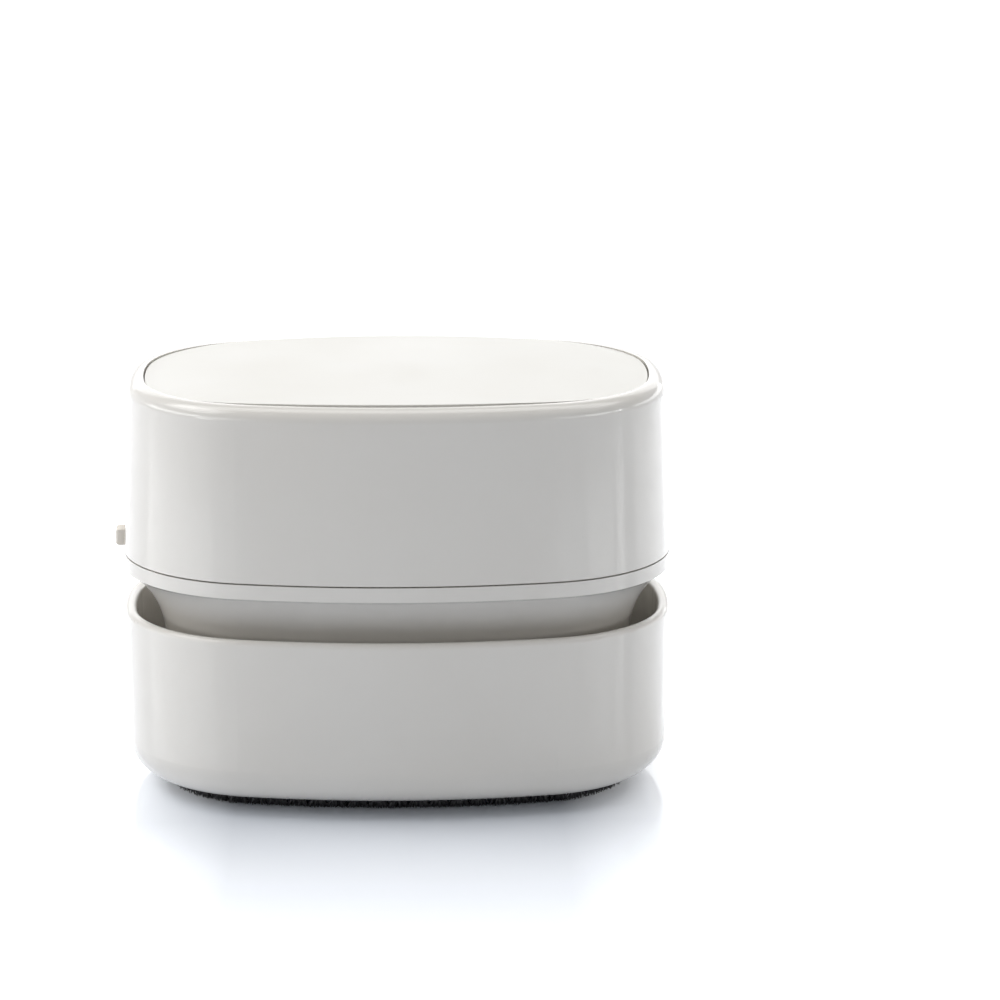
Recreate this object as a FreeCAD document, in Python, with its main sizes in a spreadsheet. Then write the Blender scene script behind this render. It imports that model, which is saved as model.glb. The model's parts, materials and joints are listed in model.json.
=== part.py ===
import FreeCAD, Part
import math
import os
import re
import Sketcher
from FreeCAD import Placement, Rotation, Vector

# Desktop mini vacuum cleaner, in millimetres.
# Frame: X along the width, -Y to the front, Z up. The origin lies on the desk, under the
# middle of the plan outline. A dust tray stands on its bristles, the motor head drops into
# the tray and lifts off it to empty the dust, and a plate in the head's roof covers the cells.

SIZES = {
    # Plan outline: four long arcs (front, back and the two ends) joined by corner arcs.
    "half_width": 62.5,
    "half_depth": 42.5,
    "front_radius": 167.5,
    "end_radius": 84.0,
    "corner_radius": 33.3,
    # Dust tray.
    "tray_underside": 2.6,
    "tray_rim": 41.0,
    "skirt_inset": 0.1,
    "skirt_wall": 2.6,
    "skirt_draft": 1.0,
    "tray_bottom_radius": 8.0,
    "lip_radius": 1.2,
    "tray_floor": 2.4,
    "chamber_height": 17.0,
    "chamber_wall": 1.6,
    "inlet_length": 46.0,
    "inlet_width": 10.0,
    "inlet_lip_height": 11.0,
    "inlet_lip_wall": 1.6,
    "seal_thickness": 0.8,
    # Strip brush under the tray.
    "brush_inset": 9.2,
    "brush_band": 4.0,
    "brush_backing": 1.2,
    "brush_gap": 0.1,
    "tuft_pitch": 4.6,
    "tuft_root": 0.95,
    "tuft_tip": 1.45,
    # Head chassis: belt, cove, sleeve and the ledge inside it that the fan housing meets.
    "belt_bottom": 50.0,
    "belt_top": 54.0,
    "belt_edge_radius": 1.6,
    "crease_inset": 2.8,
    "sleeve_inset": 9.3,
    "sleeve_wall": 1.6,
    "cove_radius": 11.0,
    "cove_foot": 40.0,
    "ledge_width": 1.6,
    "ledge_thickness": 1.3,
    "fan_seat": 50.0,
    "fan_seat_inset": 7.0,
    "vent_width": 2.4,
    "vent_pitch": 4.8,
    "vent_count": 9,
    "vent_bottom": 37.5,
    "vent_top": 46.0,
    "rim_lip_inset": 2.5,
    "rim_lip_wall": 1.4,
    "rim_lip_height": 3.0,
    # Fan housing: deck, air inlet, scroll and screw columns.
    "deck_underside": 34.0,
    "deck_thickness": 2.0,
    "air_inlet_radius": 13.0,
    "air_inlet_lip": 1.2,
    "volute_room": 2.0,
    "volute_wall": 1.4,
    "volute_mouth": 42.0,
    "column_inset_x": 21.5,
    "column_inset_y": 25.0,
    "column_radius": 3.6,
    # Filter under the deck.
    "filter_depth": 5.0,
    "filter_rim": 2.6,
    "filter_rib": 1.2,
    "filter_rib_height": 1.2,
    "filter_rib_pitch": 25.0,
    "filter_pad_thickness": 2.6,
    "filter_pad_gap": 0.05,
    # Upper housing.
    "seam_gap": 0.35,
    "housing_top": 94.0,
    "housing_draft": 2.0,
    "housing_wall": 2.2,
    "housing_edge_radius": 3.2,
    "roof_thickness": 2.0,
    "boss_radius": 3.2,
    # Roof plate over the cells.
    "plate_inset": 5.35,
    "plate_groove": 0.35,
    "plate_thickness": 2.7,
    "plate_crown": 0.45,
    "plate_leg_length": 7.0,
    "plate_leg_width": 10.0,
    "plate_leg_wall": 1.4,
    "plate_leg_inset": 3.6,
    # Cells and their bays.
    "cell_radius": 7.15,
    "cell_length": 50.5,
    "cell_nub_radius": 2.7,
    "cell_nub_length": 1.2,
    "bay_inner": 14.5,
    "bay_width": 30.0,
    "bay_end_room": 2.1,
    "bay_wall": 1.5,
    "bay_depth": 15.2,
    "contact_thickness": 0.4,
    "contact_width": 8.0,
    "contact_height": 11.0,
    # Motor and its plate.
    "fan_cover_thickness": 2.0,
    "motor_radius": 10.2,
    "motor_length": 25.0,
    "motor_boss_radius": 3.0,
    "motor_boss_height": 1.6,
    "collar_wall": 1.6,
    "collar_height": 8.0,
    "end_cap_height": 3.4,
    "end_cap_step": 1.0,
    "can_edge_radius": 1.0,
    "terminal_height": 4.0,
    "terminal_width": 2.4,
    "terminal_thickness": 0.5,
    "terminal_spread": 6.0,
    "shaft_radius": 1.0,
    "shaft_bearing_depth": 3.0,
    "shaft_sink": 0.5,
    "motor_screw_spread": 7.0,
    # Impeller.
    "impeller_room": 2.7,
    "impeller_plate": 1.4,
    "impeller_top": 47.6,
    "blade_height": 8.2,
    "blade_wall": 1.2,
    "blade_count": 9,
    "blade_start": 11.5,
    "blade_curve_room": 8.5,
    "blade_lean": 60.0,
    "blade_taper": 3.3,
    "blade_trim": 3.6,
    "hub_nose_radius": 2.4,
    "hub_nose_height": 3.3,
    "hub_radius": 4.0,
    "hub_flare_radius": 5.6,
    "hub_flare_height": 1.0,
    "hub_foot_radius": 8.0,
    # Slide switch in the left end.
    "knob_proud": 1.75,
    "knob_length": 12.0,
    "knob_height": 4.8,
    "knob_travel": 4.0,
    "knob_gap": 0.3,
    "knob_edge_radius": 0.8,
    "knob_groove_count": 5,
    "knob_groove_pitch": 2.0,
    "knob_groove_width": 0.9,
    "knob_groove_depth": 0.45,
    "knob_flange_inset": 4.4,
    "knob_flange_wall": 1.0,
    "knob_flange_height": 7.0,
    "knob_flange_overlap": 1.5,
    "fork_length": 2.2,
    "fork_wall": 1.1,
    "lever_width": 2.2,
    "lever_height": 1.6,
    "lever_reach": 3.8,
    "lever_rise": 3.35,
    "switch_length": 11.0,
    "switch_depth": 5.0,
    "switch_height": 4.8,
    "switch_inset": 8.0,
    "switch_window": 1.8,
    "board_length": 21.0,
    "board_width": 8.4,
    "board_thickness": 1.2,
    "board_post_radius": 2.0,
    # Screws.
    "screw_shank": 1.1,
    "screw_head": 2.1,
    "screw_head_height": 1.5,
    "screw_length": 16.0,
    "screw_sink": 6.0,
    "thread_room": 2.0,
    "small_screw_shank": 0.7,
    "small_screw_head": 1.5,
    "small_screw_head_height": 0.9,
    "small_screw_length": 3.4,
    "drive_slot": 0.5,
    # Clearances, and how far a cutting or joining profile reaches past its edge.
    "fit_gap": 0.3,
    "screw_gap": 0.2,
    "running_gap": 0.06,
    "press_gap": 0.01,
    "overreach": 1.0,
}

# Heights and insets that follow from the sizes above, as spreadsheet expressions.
FLOOR_TOP = "(tray_underside + tray_floor)"
SKIRT_INNER = "(skirt_inset + skirt_wall)"
SLEEVE_INNER = "(sleeve_inset + sleeve_wall)"
SLEEVE_FOOT = f"({FLOOR_TOP} + seal_thickness + fit_gap)"
CHAMBER_OUTER = f"({SLEEVE_INNER} + fit_gap)"
CHAMBER_INNER = f"({CHAMBER_OUTER} + chamber_wall)"
DECK_TOP = "(deck_underside + deck_thickness)"
LEDGE_TOP = f"({DECK_TOP} + ledge_thickness)"
VOLUTE_OUTER = f"(half_depth - {SLEEVE_INNER} - volute_room)"
VOLUTE_INNER = f"({VOLUTE_OUTER} - volute_wall)"
IMPELLER_RADIUS = f"({VOLUTE_INNER} - impeller_room)"
BLADE_CURVE = f"({IMPELLER_RADIUS} - blade_curve_room)"
COLUMN_X = "(half_width - column_inset_x)"
COLUMN_Y = "(half_depth - column_inset_y)"
FAN_COVER_TOP = "(fan_seat + fan_cover_thickness)"
HOUSING_FOOT = "(belt_top + seam_gap)"
PLATE_SEAT = "(housing_top - plate_thickness - fit_gap)"
ROOF_UNDERSIDE = f"({PLATE_SEAT} - roof_thickness)"
ROOF_MIDDLE = f"({PLATE_SEAT} - roof_thickness / 2)"
BAY_FLOOR = f"({PLATE_SEAT} - bay_depth)"
BAY_HALF_LENGTH = "(cell_length / 2 + bay_end_room)"
BAY_OUTER = "(bay_inner + bay_width)"
CELL_AXIS = f"({BAY_FLOOR} + cell_radius + press_gap)"
MOTOR_TOP = f"({FAN_COVER_TOP} + motor_length)"
IMPELLER_BOTTOM = "(impeller_top - impeller_plate - blade_height)"
KNOB_FOOT = f"({HOUSING_FOOT} + knob_gap)"
KNOB_TOP = f"({KNOB_FOOT} + knob_height)"
FLANGE_FACE = "(half_width - knob_flange_inset)"
FLANGE_BACK = f"({FLANGE_FACE} - knob_flange_wall)"
FLANGE_HALF = "(knob_length / 2 + knob_travel + knob_flange_overlap)"
LEVER_MIDDLE = f"({KNOB_FOOT} + lever_rise)"
BOARD_TOP = f"({LEVER_MIDDLE} - switch_height / 2)"
BOARD_UNDERSIDE = f"({BOARD_TOP} - board_thickness)"
BOARD_POST_HEIGHT = f"({BOARD_UNDERSIDE} - {FAN_COVER_TOP})"
SWITCH_FACE = "(half_width - switch_inset)"
SCREW_SEAT = "(fan_seat - screw_sink)"
BOARD_X = f"(-{SWITCH_FACE} + switch_depth / 2)"
BOARD_SCREW_Y = "(board_length / 2 - board_post_radius)"
KNOB_REST = "(-knob_travel / 2)"

TOUCHING = 1e-3
TINY = 1e-6

doc = FreeCAD.newDocument("DeskVacuum")
sheet = doc.addObject("Spreadsheet::Sheet", "Sizes")
for row, (alias, size) in enumerate(SIZES.items(), start=1):
    sheet.set(f"A{row}", alias)
    sheet.set(f"B{row}", str(size))
    sheet.setAlias(f"B{row}", alias)
doc.recompute()


def expression(text):
    """Turn a formula over size names into one that any object of the document can read."""
    return re.sub(r"[a-z]\w*", lambda word: "Sizes." * (word[0] in SIZES) + word[0], text)


def value(text):
    """Number that a formula over the sizes gives now."""
    return float(sheet.evalExpression(expression(text)))


def bind(target, path, text):
    """Tie one property of an object to a formula over the sizes."""
    target.setExpression(path, expression(text))


# ---------------------------------------------------------------- sketches and features


def new_body(label):
    """Start a named sub-part."""
    body = doc.addObject("PartDesign::Body", label)
    body.Label = label
    return body


def origin_feature(body, role):
    """Plane or axis of the body's own origin."""
    return next(item for item in body.Origin.OriginFeatures if item.Role == role)


def new_sketch(body, plane="XY_Plane", offset="0"):
    """Empty sketch on one of the body's origin planes, moved along its normal."""
    sketch = body.newObject("Sketcher::SketchObject", body.Label + "_sketch")
    sketch.AttachmentSupport = [(origin_feature(body, plane), "")]
    sketch.MapMode = "FlatFace"
    bind(sketch, "AttachmentOffset.Base.z", offset)
    return sketch


def pin(sketch, kind, geometry, point, text):
    """Dimension from the sketch origin to a point, bound to a formula."""
    index = sketch.addConstraint(Sketcher.Constraint(kind, -1, 1, geometry, point, value(text)))
    bind(sketch, f"Constraints[{index}]", text)


def pin_radius(sketch, geometry, text):
    """Bound radius of an arc or circle."""
    index = sketch.addConstraint(Sketcher.Constraint("Radius", geometry, value(text)))
    bind(sketch, f"Constraints[{index}]", text)


def polygon(sketch, corners):
    """Closed polygon whose corners are pairs of formulas."""
    spots = [Vector(value(x), value(y), 0) for x, y in corners]
    first = sketch.GeometryCount
    count = len(spots)
    for step in range(count):
        sketch.addGeometry(Part.LineSegment(spots[step], spots[(step + 1) % count]), False)
    for step in range(count):
        following = first + (step + 1) % count
        sketch.addConstraint(Sketcher.Constraint("Coincident", first + step, 2, following, 1))
    for step, (x, y) in enumerate(corners):
        pin(sketch, "DistanceX", first + step, 1, x)
        pin(sketch, "DistanceY", first + step, 1, y)


def rectangle(sketch, left, right, bottom, top):
    """Upright rectangle between four formulas."""
    polygon(sketch, [(left, bottom), (right, bottom), (right, top), (left, top)])


def circle(sketch, radius, x="0", y="0"):
    """Bound circle."""
    centre = Vector(value(x), value(y), 0)
    index = sketch.addGeometry(Part.Circle(centre, Vector(0, 0, 1), value(radius)), False)
    pin_radius(sketch, index, radius)
    pin(sketch, "DistanceX", index, 3, x)
    pin(sketch, "DistanceY", index, 3, y)


def add_arc(sketch, centre, radius, start, end):
    """Arc about a centre between two angles in degrees."""
    round_edge = Part.Circle(centre, Vector(0, 0, 1), radius)
    arc = Part.ArcOfCircle(round_edge, math.radians(start), math.radians(end))
    return sketch.addGeometry(arc, False)


def corner_centre():
    """Centre of the corner arc that touches the back arc and the right end arc."""
    back_y = value("half_depth - front_radius")
    end_x = value("half_width - end_radius")
    back_reach = value("front_radius - corner_radius")
    end_reach = value("end_radius - corner_radius")
    apart = math.hypot(end_x, back_y)
    along = (back_reach ** 2 - end_reach ** 2 + apart ** 2) / (2 * apart)
    aside = math.sqrt(back_reach ** 2 - along ** 2)
    unit_x = end_x / apart
    unit_y = -back_y / apart
    return along * unit_x + aside * unit_y, back_y + along * unit_y - aside * unit_x


def outline_arcs(inset=0.0):
    """The eight arcs of the plan outline, anticlockwise from the back: centre, radius, angles."""
    corner_x, corner_y = corner_centre()
    back_y = value("half_depth - front_radius")
    end_x = value("half_width - end_radius")
    back_turn = math.degrees(math.atan2(corner_y - back_y, corner_x))
    end_turn = math.degrees(math.atan2(corner_y, corner_x - end_x))
    long_radius = value("front_radius") - inset
    short_radius = value("end_radius") - inset
    round_radius = value("corner_radius") - inset
    return [
        (Vector(0, back_y, 0), long_radius, back_turn, 180 - back_turn),
        (Vector(-corner_x, corner_y, 0), round_radius, 180 - back_turn, 180 - end_turn),
        (Vector(-end_x, 0, 0), short_radius, 180 - end_turn, 180 + end_turn),
        (Vector(-corner_x, -corner_y, 0), round_radius, 180 + end_turn, 180 + back_turn),
        (Vector(0, -back_y, 0), long_radius, 180 + back_turn, 360 - back_turn),
        (Vector(corner_x, -corner_y, 0), round_radius, 360 - back_turn, 360 - end_turn),
        (Vector(end_x, 0, 0), short_radius, 360 - end_turn, 360 + end_turn),
        (Vector(corner_x, corner_y, 0), round_radius, end_turn, back_turn),
    ]


def outline(sketch, inset):
    """Plan outline moved inwards: every arc keeps its centre and loses the inset from its radius."""
    first = sketch.GeometryCount
    for centre, radius, start, end in outline_arcs(value(inset)):
        add_arc(sketch, centre, radius, start, end)
    for step in range(8):
        following = first + (step + 1) % 8
        sketch.addConstraint(Sketcher.Constraint("Tangent", first + step, 2, following, 1))
    for step, radius in enumerate(["front_radius", "corner_radius", "end_radius", "corner_radius"] * 2):
        pin_radius(sketch, first + step, f"{radius} - ({inset})")
    pin(sketch, "DistanceX", first, 3, "0")
    pin(sketch, "DistanceY", first, 3, "half_depth - front_radius")
    pin(sketch, "DistanceX", first + 2, 3, "end_radius - half_width")
    pin(sketch, "DistanceY", first + 2, 3, "0")
    pin(sketch, "DistanceX", first + 4, 3, "0")
    pin(sketch, "DistanceY", first + 4, 3, "front_radius - half_depth")
    pin(sketch, "DistanceX", first + 6, 3, "half_width - end_radius")
    pin(sketch, "DistanceY", first + 6, 3, "0")


def arc_band(sketch, centre, inner, outer, start, end):
    """Band between two arcs about one centre, closed by two straight ends; angles in degrees."""
    centre_x, centre_y = centre
    middle = Vector(value(centre_x), value(centre_y), 0)
    outer_arc = add_arc(sketch, middle, value(outer), value(start), value(end))
    inner_arc = add_arc(sketch, middle, value(inner), value(start), value(end))
    wide = sketch.Geometry[outer_arc]
    narrow = sketch.Geometry[inner_arc]
    start_end = sketch.addGeometry(Part.LineSegment(narrow.StartPoint, wide.StartPoint), False)
    far_end = sketch.addGeometry(Part.LineSegment(wide.EndPoint, narrow.EndPoint), False)
    sketch.addConstraint(Sketcher.Constraint("Coincident", start_end, 1, inner_arc, 1))
    sketch.addConstraint(Sketcher.Constraint("Coincident", start_end, 2, outer_arc, 1))
    sketch.addConstraint(Sketcher.Constraint("Coincident", far_end, 1, outer_arc, 2))
    sketch.addConstraint(Sketcher.Constraint("Coincident", far_end, 2, inner_arc, 2))
    sketch.addConstraint(Sketcher.Constraint("Coincident", inner_arc, 3, outer_arc, 3))
    pin(sketch, "DistanceX", outer_arc, 3, centre_x)
    pin(sketch, "DistanceY", outer_arc, 3, centre_y)
    pin_radius(sketch, outer_arc, outer)
    for arc, radius in ((outer_arc, outer), (inner_arc, inner)):
        pin(sketch, "DistanceX", arc, 1, f"{centre_x} + {radius} * cos({start})")
        pin(sketch, "DistanceX", arc, 2, f"{centre_x} + {radius} * cos({end})")
    pin(sketch, "DistanceY", inner_arc, 1, f"{centre_y} + {inner} * sin({start})")


def slot(sketch, half_length, half_width, x="0", y="0"):
    """Slot along X with round ends."""
    spot = Vector(value(x), value(y), 0)
    reach = value(half_length) - value(half_width)
    radius = value(half_width)
    right = add_arc(sketch, spot + Vector(reach, 0, 0), radius, -90, 90)
    left = add_arc(sketch, spot - Vector(reach, 0, 0), radius, 90, 270)
    high = spot + Vector(0, radius, 0)
    low = spot - Vector(0, radius, 0)
    side = Vector(reach, 0, 0)
    top = sketch.addGeometry(Part.LineSegment(high + side, high - side), False)
    bottom = sketch.addGeometry(Part.LineSegment(low - side, low + side), False)
    sketch.addConstraint(Sketcher.Constraint("Tangent", right, 2, top, 1))
    sketch.addConstraint(Sketcher.Constraint("Tangent", top, 2, left, 1))
    sketch.addConstraint(Sketcher.Constraint("Tangent", left, 2, bottom, 1))
    sketch.addConstraint(Sketcher.Constraint("Tangent", bottom, 2, right, 1))
    pin_radius(sketch, right, half_width)
    for arc, sign in ((right, "+"), (left, "-")):
        pin(sketch, "DistanceX", arc, 3, f"{x} {sign} ({half_length} - ({half_width}))")
    pin(sketch, "DistanceY", right, 3, y)


def extrude(body, kind, sketch, length, reverse, taper, both_ways):
    """Pad or pocket of a sketch."""
    feature = body.newObject("PartDesign::" + kind, body.Label + "_" + kind.lower())
    feature.Profile = (sketch, [""])
    bind(feature, "Length", length)
    feature.Reversed = reverse
    if both_ways:
        feature.SideType = "Symmetric"
    if taper:
        bind(feature, "TaperAngle", taper)
    sketch.Visibility = False
    return feature


def pad(body, sketch, length, reverse=False, taper=None, both_ways=False):
    """Add material along the sketch normal, or against it when reversed."""
    return extrude(body, "Pad", sketch, length, reverse, taper, both_ways)


def pocket(body, sketch, length, upwards=False, taper=None, both_ways=False):
    """Remove material against the sketch normal, or along it when upwards."""
    doc.recompute()
    before = body.Shape.Volume
    feature = extrude(body, "Pocket", sketch, length, upwards, taper, both_ways)
    doc.recompute()
    if body.Shape.Volume > before - TINY:
        raise RuntimeError(f"a pocket of {body.Label} cuts nothing")
    return feature


def revolve(body, sketch, axis="V_Axis"):
    """Turn a sketch once round one of its own axes."""
    feature = body.newObject("PartDesign::Revolution", body.Label + "_turned")
    feature.Profile = (sketch, [""])
    feature.ReferenceAxis = (sketch, [axis])
    feature.Angle = 360
    sketch.Visibility = False
    return feature


def round_edges(body, radius, test):
    """Fillet the edges of the body whose points all pass the test."""
    doc.recompute()
    tip = body.Tip
    names = []
    for number, edge in enumerate(tip.Shape.Edges, start=1):
        middle = (edge.FirstParameter + edge.LastParameter) / 2
        spots = [vertex.Point for vertex in edge.Vertexes] + [edge.valueAt(middle)]
        if all(test(spot) for spot in spots):
            names.append(f"Edge{number}")
    if not names:
        raise RuntimeError(f"no edge of {body.Label} to round")
    feature = body.newObject("PartDesign::Fillet", body.Label + "_rounding")
    feature.Base = (tip, names)
    bind(feature, "Radius", radius)
    return feature


def near(number, target):
    """Whether a coordinate equals a height or place."""
    return abs(number - target) < TOUCHING


def inset_of(spot):
    """How far a point lies inside the plan outline, from the arc whose sector holds it."""
    arcs = outline_arcs()
    insets = []
    for centre, radius, start, end in (arcs[0], arcs[6], arcs[7]):
        away = Vector(abs(spot.x), abs(spot.y), 0) - centre
        turn = (math.degrees(math.atan2(away.y, away.x)) - start + TINY) % 360
        if turn <= end - start + 2 * TINY:
            insets.append(radius - away.Length)
    return min(insets, default=math.inf)


def four_circles(sketch, radius):
    """One circle about each of the four screw columns."""
    for side in ("", "-"):
        for end in ("", "-"):
            circle(sketch, radius, side + COLUMN_X, end + COLUMN_Y)


def outline_pad(body, insets, bottom, height, taper=None, reverse=False):
    """Pad between one or two insets of the plan outline, from a height upwards."""
    sketch = new_sketch(body, offset=bottom)
    for inset in insets:
        outline(sketch, inset)
    return pad(body, sketch, height, reverse=reverse, taper=taper)


def outline_pocket(body, insets, height, depth, upwards=False, taper=None):
    """Pocket between one or two insets of the plan outline, from a height."""
    sketch = new_sketch(body, offset=height)
    for inset in insets:
        outline(sketch, inset)
    return pocket(body, sketch, depth, upwards=upwards, taper=taper)


# ---------------------------------------------------------------- dust tray


def dust_tray():
    """Open tray: drafted skirt with a rounded lip, chamber wall and a lipped suction inlet."""
    body = new_body("dust_tray")
    rim_height = "tray_rim - tray_underside"
    outline_pad(body, ["skirt_inset"], "tray_rim", rim_height, taper="-skirt_draft", reverse=True)
    round_edges(body, "tray_bottom_radius", lambda spot: near(spot.z, value("tray_underside")))
    room = f"tray_rim - {FLOOR_TOP}"
    outline_pocket(body, [SKIRT_INNER], "tray_rim", room, taper="-skirt_draft")
    floor_edge = value(FLOOR_TOP)
    round_edges(body, "tray_bottom_radius - skirt_wall", lambda spot: near(spot.z, floor_edge))
    round_edges(body, "lip_radius", lambda spot: near(spot.z, value("tray_rim")))
    outline_pad(body, [CHAMBER_OUTER, CHAMBER_INNER], FLOOR_TOP, "chamber_height")
    lip = new_sketch(body, offset=FLOOR_TOP)
    slot(lip, "inlet_length / 2 + inlet_lip_wall", "inlet_width / 2 + inlet_lip_wall")
    pad(body, lip, "inlet_lip_height")
    inlet = new_sketch(body, offset=f"{FLOOR_TOP} + inlet_lip_height")
    slot(inlet, "inlet_length / 2", "inlet_width / 2")
    pocket(body, inlet, "inlet_lip_height + tray_floor")
    groove = ["brush_inset - brush_gap", "brush_inset + brush_band + brush_gap"]
    outline_pocket(body, groove, "tray_underside", "brush_backing", upwards=True)
    return body


def tray_seal():
    """Flat rubber ring on the tray floor, under the foot of the head's sleeve."""
    body = new_body("tray_seal")
    outline_pad(body, ["sleeve_inset", f"{SLEEVE_INNER} + screw_gap"], FLOOR_TOP, "seal_thickness")
    return body


def brush_ring():
    """Backing of the strip brush, pressed flush into the groove of the tray."""
    body = new_body("brush_ring")
    outline_pad(body, ["brush_inset", "brush_inset + brush_band"], "tray_underside", "brush_backing")
    return body


def tuft_spots():
    """Evenly spaced places along the middle of the brush, with the direction out of the plan."""
    arcs = outline_arcs(value("brush_inset + brush_band / 2"))
    length = sum(radius * math.radians(end - start) for _, radius, start, end in arcs)
    count = round(length / value("tuft_pitch"))
    for step in range(count):
        left = (arcs[0][1] * math.radians(90 - arcs[0][2]) + (step + 0.5) * length / count) % length
        for centre, radius, start, end in arcs:
            reach = radius * math.radians(end - start)
            if left <= reach:
                angle = math.radians(start) + left / radius
                yield centre + Vector(math.cos(angle), math.sin(angle), 0) * radius
                break
            left -= reach


def bristles(label, belongs):
    """Tufts of one side of the brush, each splayed a little from its root to the desk."""
    root = value("tuft_root")
    tip = value("tuft_tip")
    height = value("tray_underside")
    tufts = [Part.makeCone(tip, root, height, spot) for spot in tuft_spots() if belongs(spot)]
    node = doc.addObject("Part::Feature", label)
    node.Label = label
    node.Shape = Part.makeCompound(tufts)
    node.Placement = Placement()
    return node


# ---------------------------------------------------------------- head chassis


def head_chassis():
    """Belt under the housing, coved into the sleeve that drops round the tray's chamber wall."""
    body = new_body("head_chassis")
    cove_top = "(cove_foot + cove_radius)"
    beyond = "(sleeve_inset - cove_radius - overreach)"
    outline_pad(body, [beyond], cove_top, f"belt_top - {cove_top}")
    outline_pad(body, ["sleeve_inset"], SLEEVE_FOOT, f"{cove_top} - {SLEEVE_FOOT}")
    neck = value("sleeve_inset")
    top = value(cove_top)
    round_edges(body, "cove_radius", lambda spot: near(spot.z, top) and near(inset_of(spot), neck))
    outline_pocket(body, ["crease_inset", f"{beyond} - overreach"], "belt_top", "belt_top - cove_foot")
    outline_pad(body, ["0", "crease_inset + overreach"], "belt_bottom", "belt_top - belt_bottom")
    low = value("belt_bottom")
    round_edges(body, "belt_edge_radius", lambda spot: near(spot.z, low) and near(inset_of(spot), 0))
    outline_pocket(body, [SLEEVE_INNER], SLEEVE_FOOT, f"{DECK_TOP} - {SLEEVE_FOOT}", upwards=True)
    outline_pocket(body, [SLEEVE_INNER], "belt_top", f"belt_top - {LEDGE_TOP}")
    outline_pocket(body, [f"{SLEEVE_INNER} + ledge_width"], LEDGE_TOP, "ledge_thickness")
    outline_pocket(body, ["fan_seat_inset"], "belt_top", "belt_top - fan_seat")
    lip_insets = ["rim_lip_inset", "rim_lip_inset + rim_lip_wall"]
    outline_pad(body, lip_insets, "belt_top", "rim_lip_height")
    vents(body)
    notch = new_sketch(body, "YZ_Plane", offset="-half_width")
    sweep = f"({FLANGE_HALF} + knob_travel / 2 + 2 * fit_gap)"
    rectangle(notch, f"-{sweep}", sweep, "belt_top", "belt_top + rim_lip_height + overreach")
    pocket(body, notch, "rim_lip_inset + rim_lip_wall + 3 * overreach", upwards=True)
    return body


def vents(body):
    """Row of exhaust slots through the back of the sleeve, into the channel of the tray."""
    start = "-vent_pitch * (vent_count - 1) / 2"
    inside = f"(half_depth - {SLEEVE_INNER} - ledge_width - overreach)"
    first = new_sketch(body, "XZ_Plane", offset=f"-{inside}")
    rectangle(first, f"{start} - vent_width / 2", f"{start} + vent_width / 2", "vent_bottom", "vent_top")
    opening = pocket(body, first, f"half_depth - {inside}")
    row = body.newObject("PartDesign::LinearPattern", "vent_row")
    row.Originals = [opening]
    row.Direction = (origin_feature(body, "X_Axis"), [""])
    bind(row, "Length", "vent_pitch * (vent_count - 1)")
    bind(row, "Occurrences", "vent_count")
    body.Tip = row
    doc.recompute()


def fan_housing():
    """Deck that meets the ledge from below, with the bell-mouthed inlet, scroll and screw columns."""
    body = new_body("fan_housing")
    outline_pad(body, [f"{SLEEVE_INNER} + screw_gap"], "deck_underside", "deck_thickness")
    columns = new_sketch(body, offset=DECK_TOP)
    four_circles(columns, "column_radius")
    pad(body, columns, f"fan_seat - {DECK_TOP}")
    heads = new_sketch(body, offset="deck_underside")
    four_circles(heads, "screw_head + screw_gap")
    pocket(body, heads, f"{SCREW_SEAT} - deck_underside", upwards=True)
    holes = new_sketch(body, offset="fan_seat")
    four_circles(holes, "screw_shank + screw_gap")
    pocket(body, holes, f"fan_seat - {SCREW_SEAT}")
    volute = new_sketch(body, offset=DECK_TOP)
    ends = ("90 + volute_mouth", "450 - volute_mouth")
    arc_band(volute, ("0", "0"), VOLUTE_INNER, VOLUTE_OUTER, *ends)
    pad(body, volute, f"fan_seat - {DECK_TOP}")
    bell = new_sketch(body, offset=DECK_TOP)
    circle(bell, "air_inlet_radius + air_inlet_lip")
    pad(body, bell, "air_inlet_lip")
    air_inlet = new_sketch(body, offset=f"{DECK_TOP} + air_inlet_lip")
    circle(air_inlet, "air_inlet_radius")
    pocket(body, air_inlet, "deck_thickness + air_inlet_lip")
    return body


# ---------------------------------------------------------------- filter


def filter_frame():
    """Frame that slides up the sleeve to the deck, with cross ribs under the felt."""
    body = new_body("filter_frame")
    foot = "(deck_underside - filter_depth)"
    insets = [CHAMBER_OUTER, f"{CHAMBER_OUTER} + filter_rim"]
    outline_pad(body, insets, foot, "filter_depth")
    half = "filter_rib / 2"
    reach = f"(half_width - {CHAMBER_OUTER})"
    side = f"(half_depth - {CHAMBER_OUTER})"
    ribs = [(f"-{reach}", reach, f"-{half}", half)]
    for place in ("-filter_rib_pitch", "0", "filter_rib_pitch"):
        ribs.append((f"{place} - {half}", f"{place} + {half}", f"-{side}", side))
    for rib in ribs:
        bar = new_sketch(body, offset=foot)
        rectangle(bar, *rib)
        pad(body, bar, "filter_rib_height")
    waste = [CHAMBER_OUTER, f"{CHAMBER_OUTER} - filter_rim"]
    outline_pocket(body, waste, "deck_underside", "filter_depth")
    return body


def filter_pad():
    """Sheet of filter felt lying on the ribs of its frame."""
    body = new_body("filter_pad")
    foot = "deck_underside - filter_depth + filter_rib_height"
    outline_pad(body, [f"{CHAMBER_OUTER} + filter_rim + filter_pad_gap"], foot, "filter_pad_thickness")
    return body


# ---------------------------------------------------------------- upper housing


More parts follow.
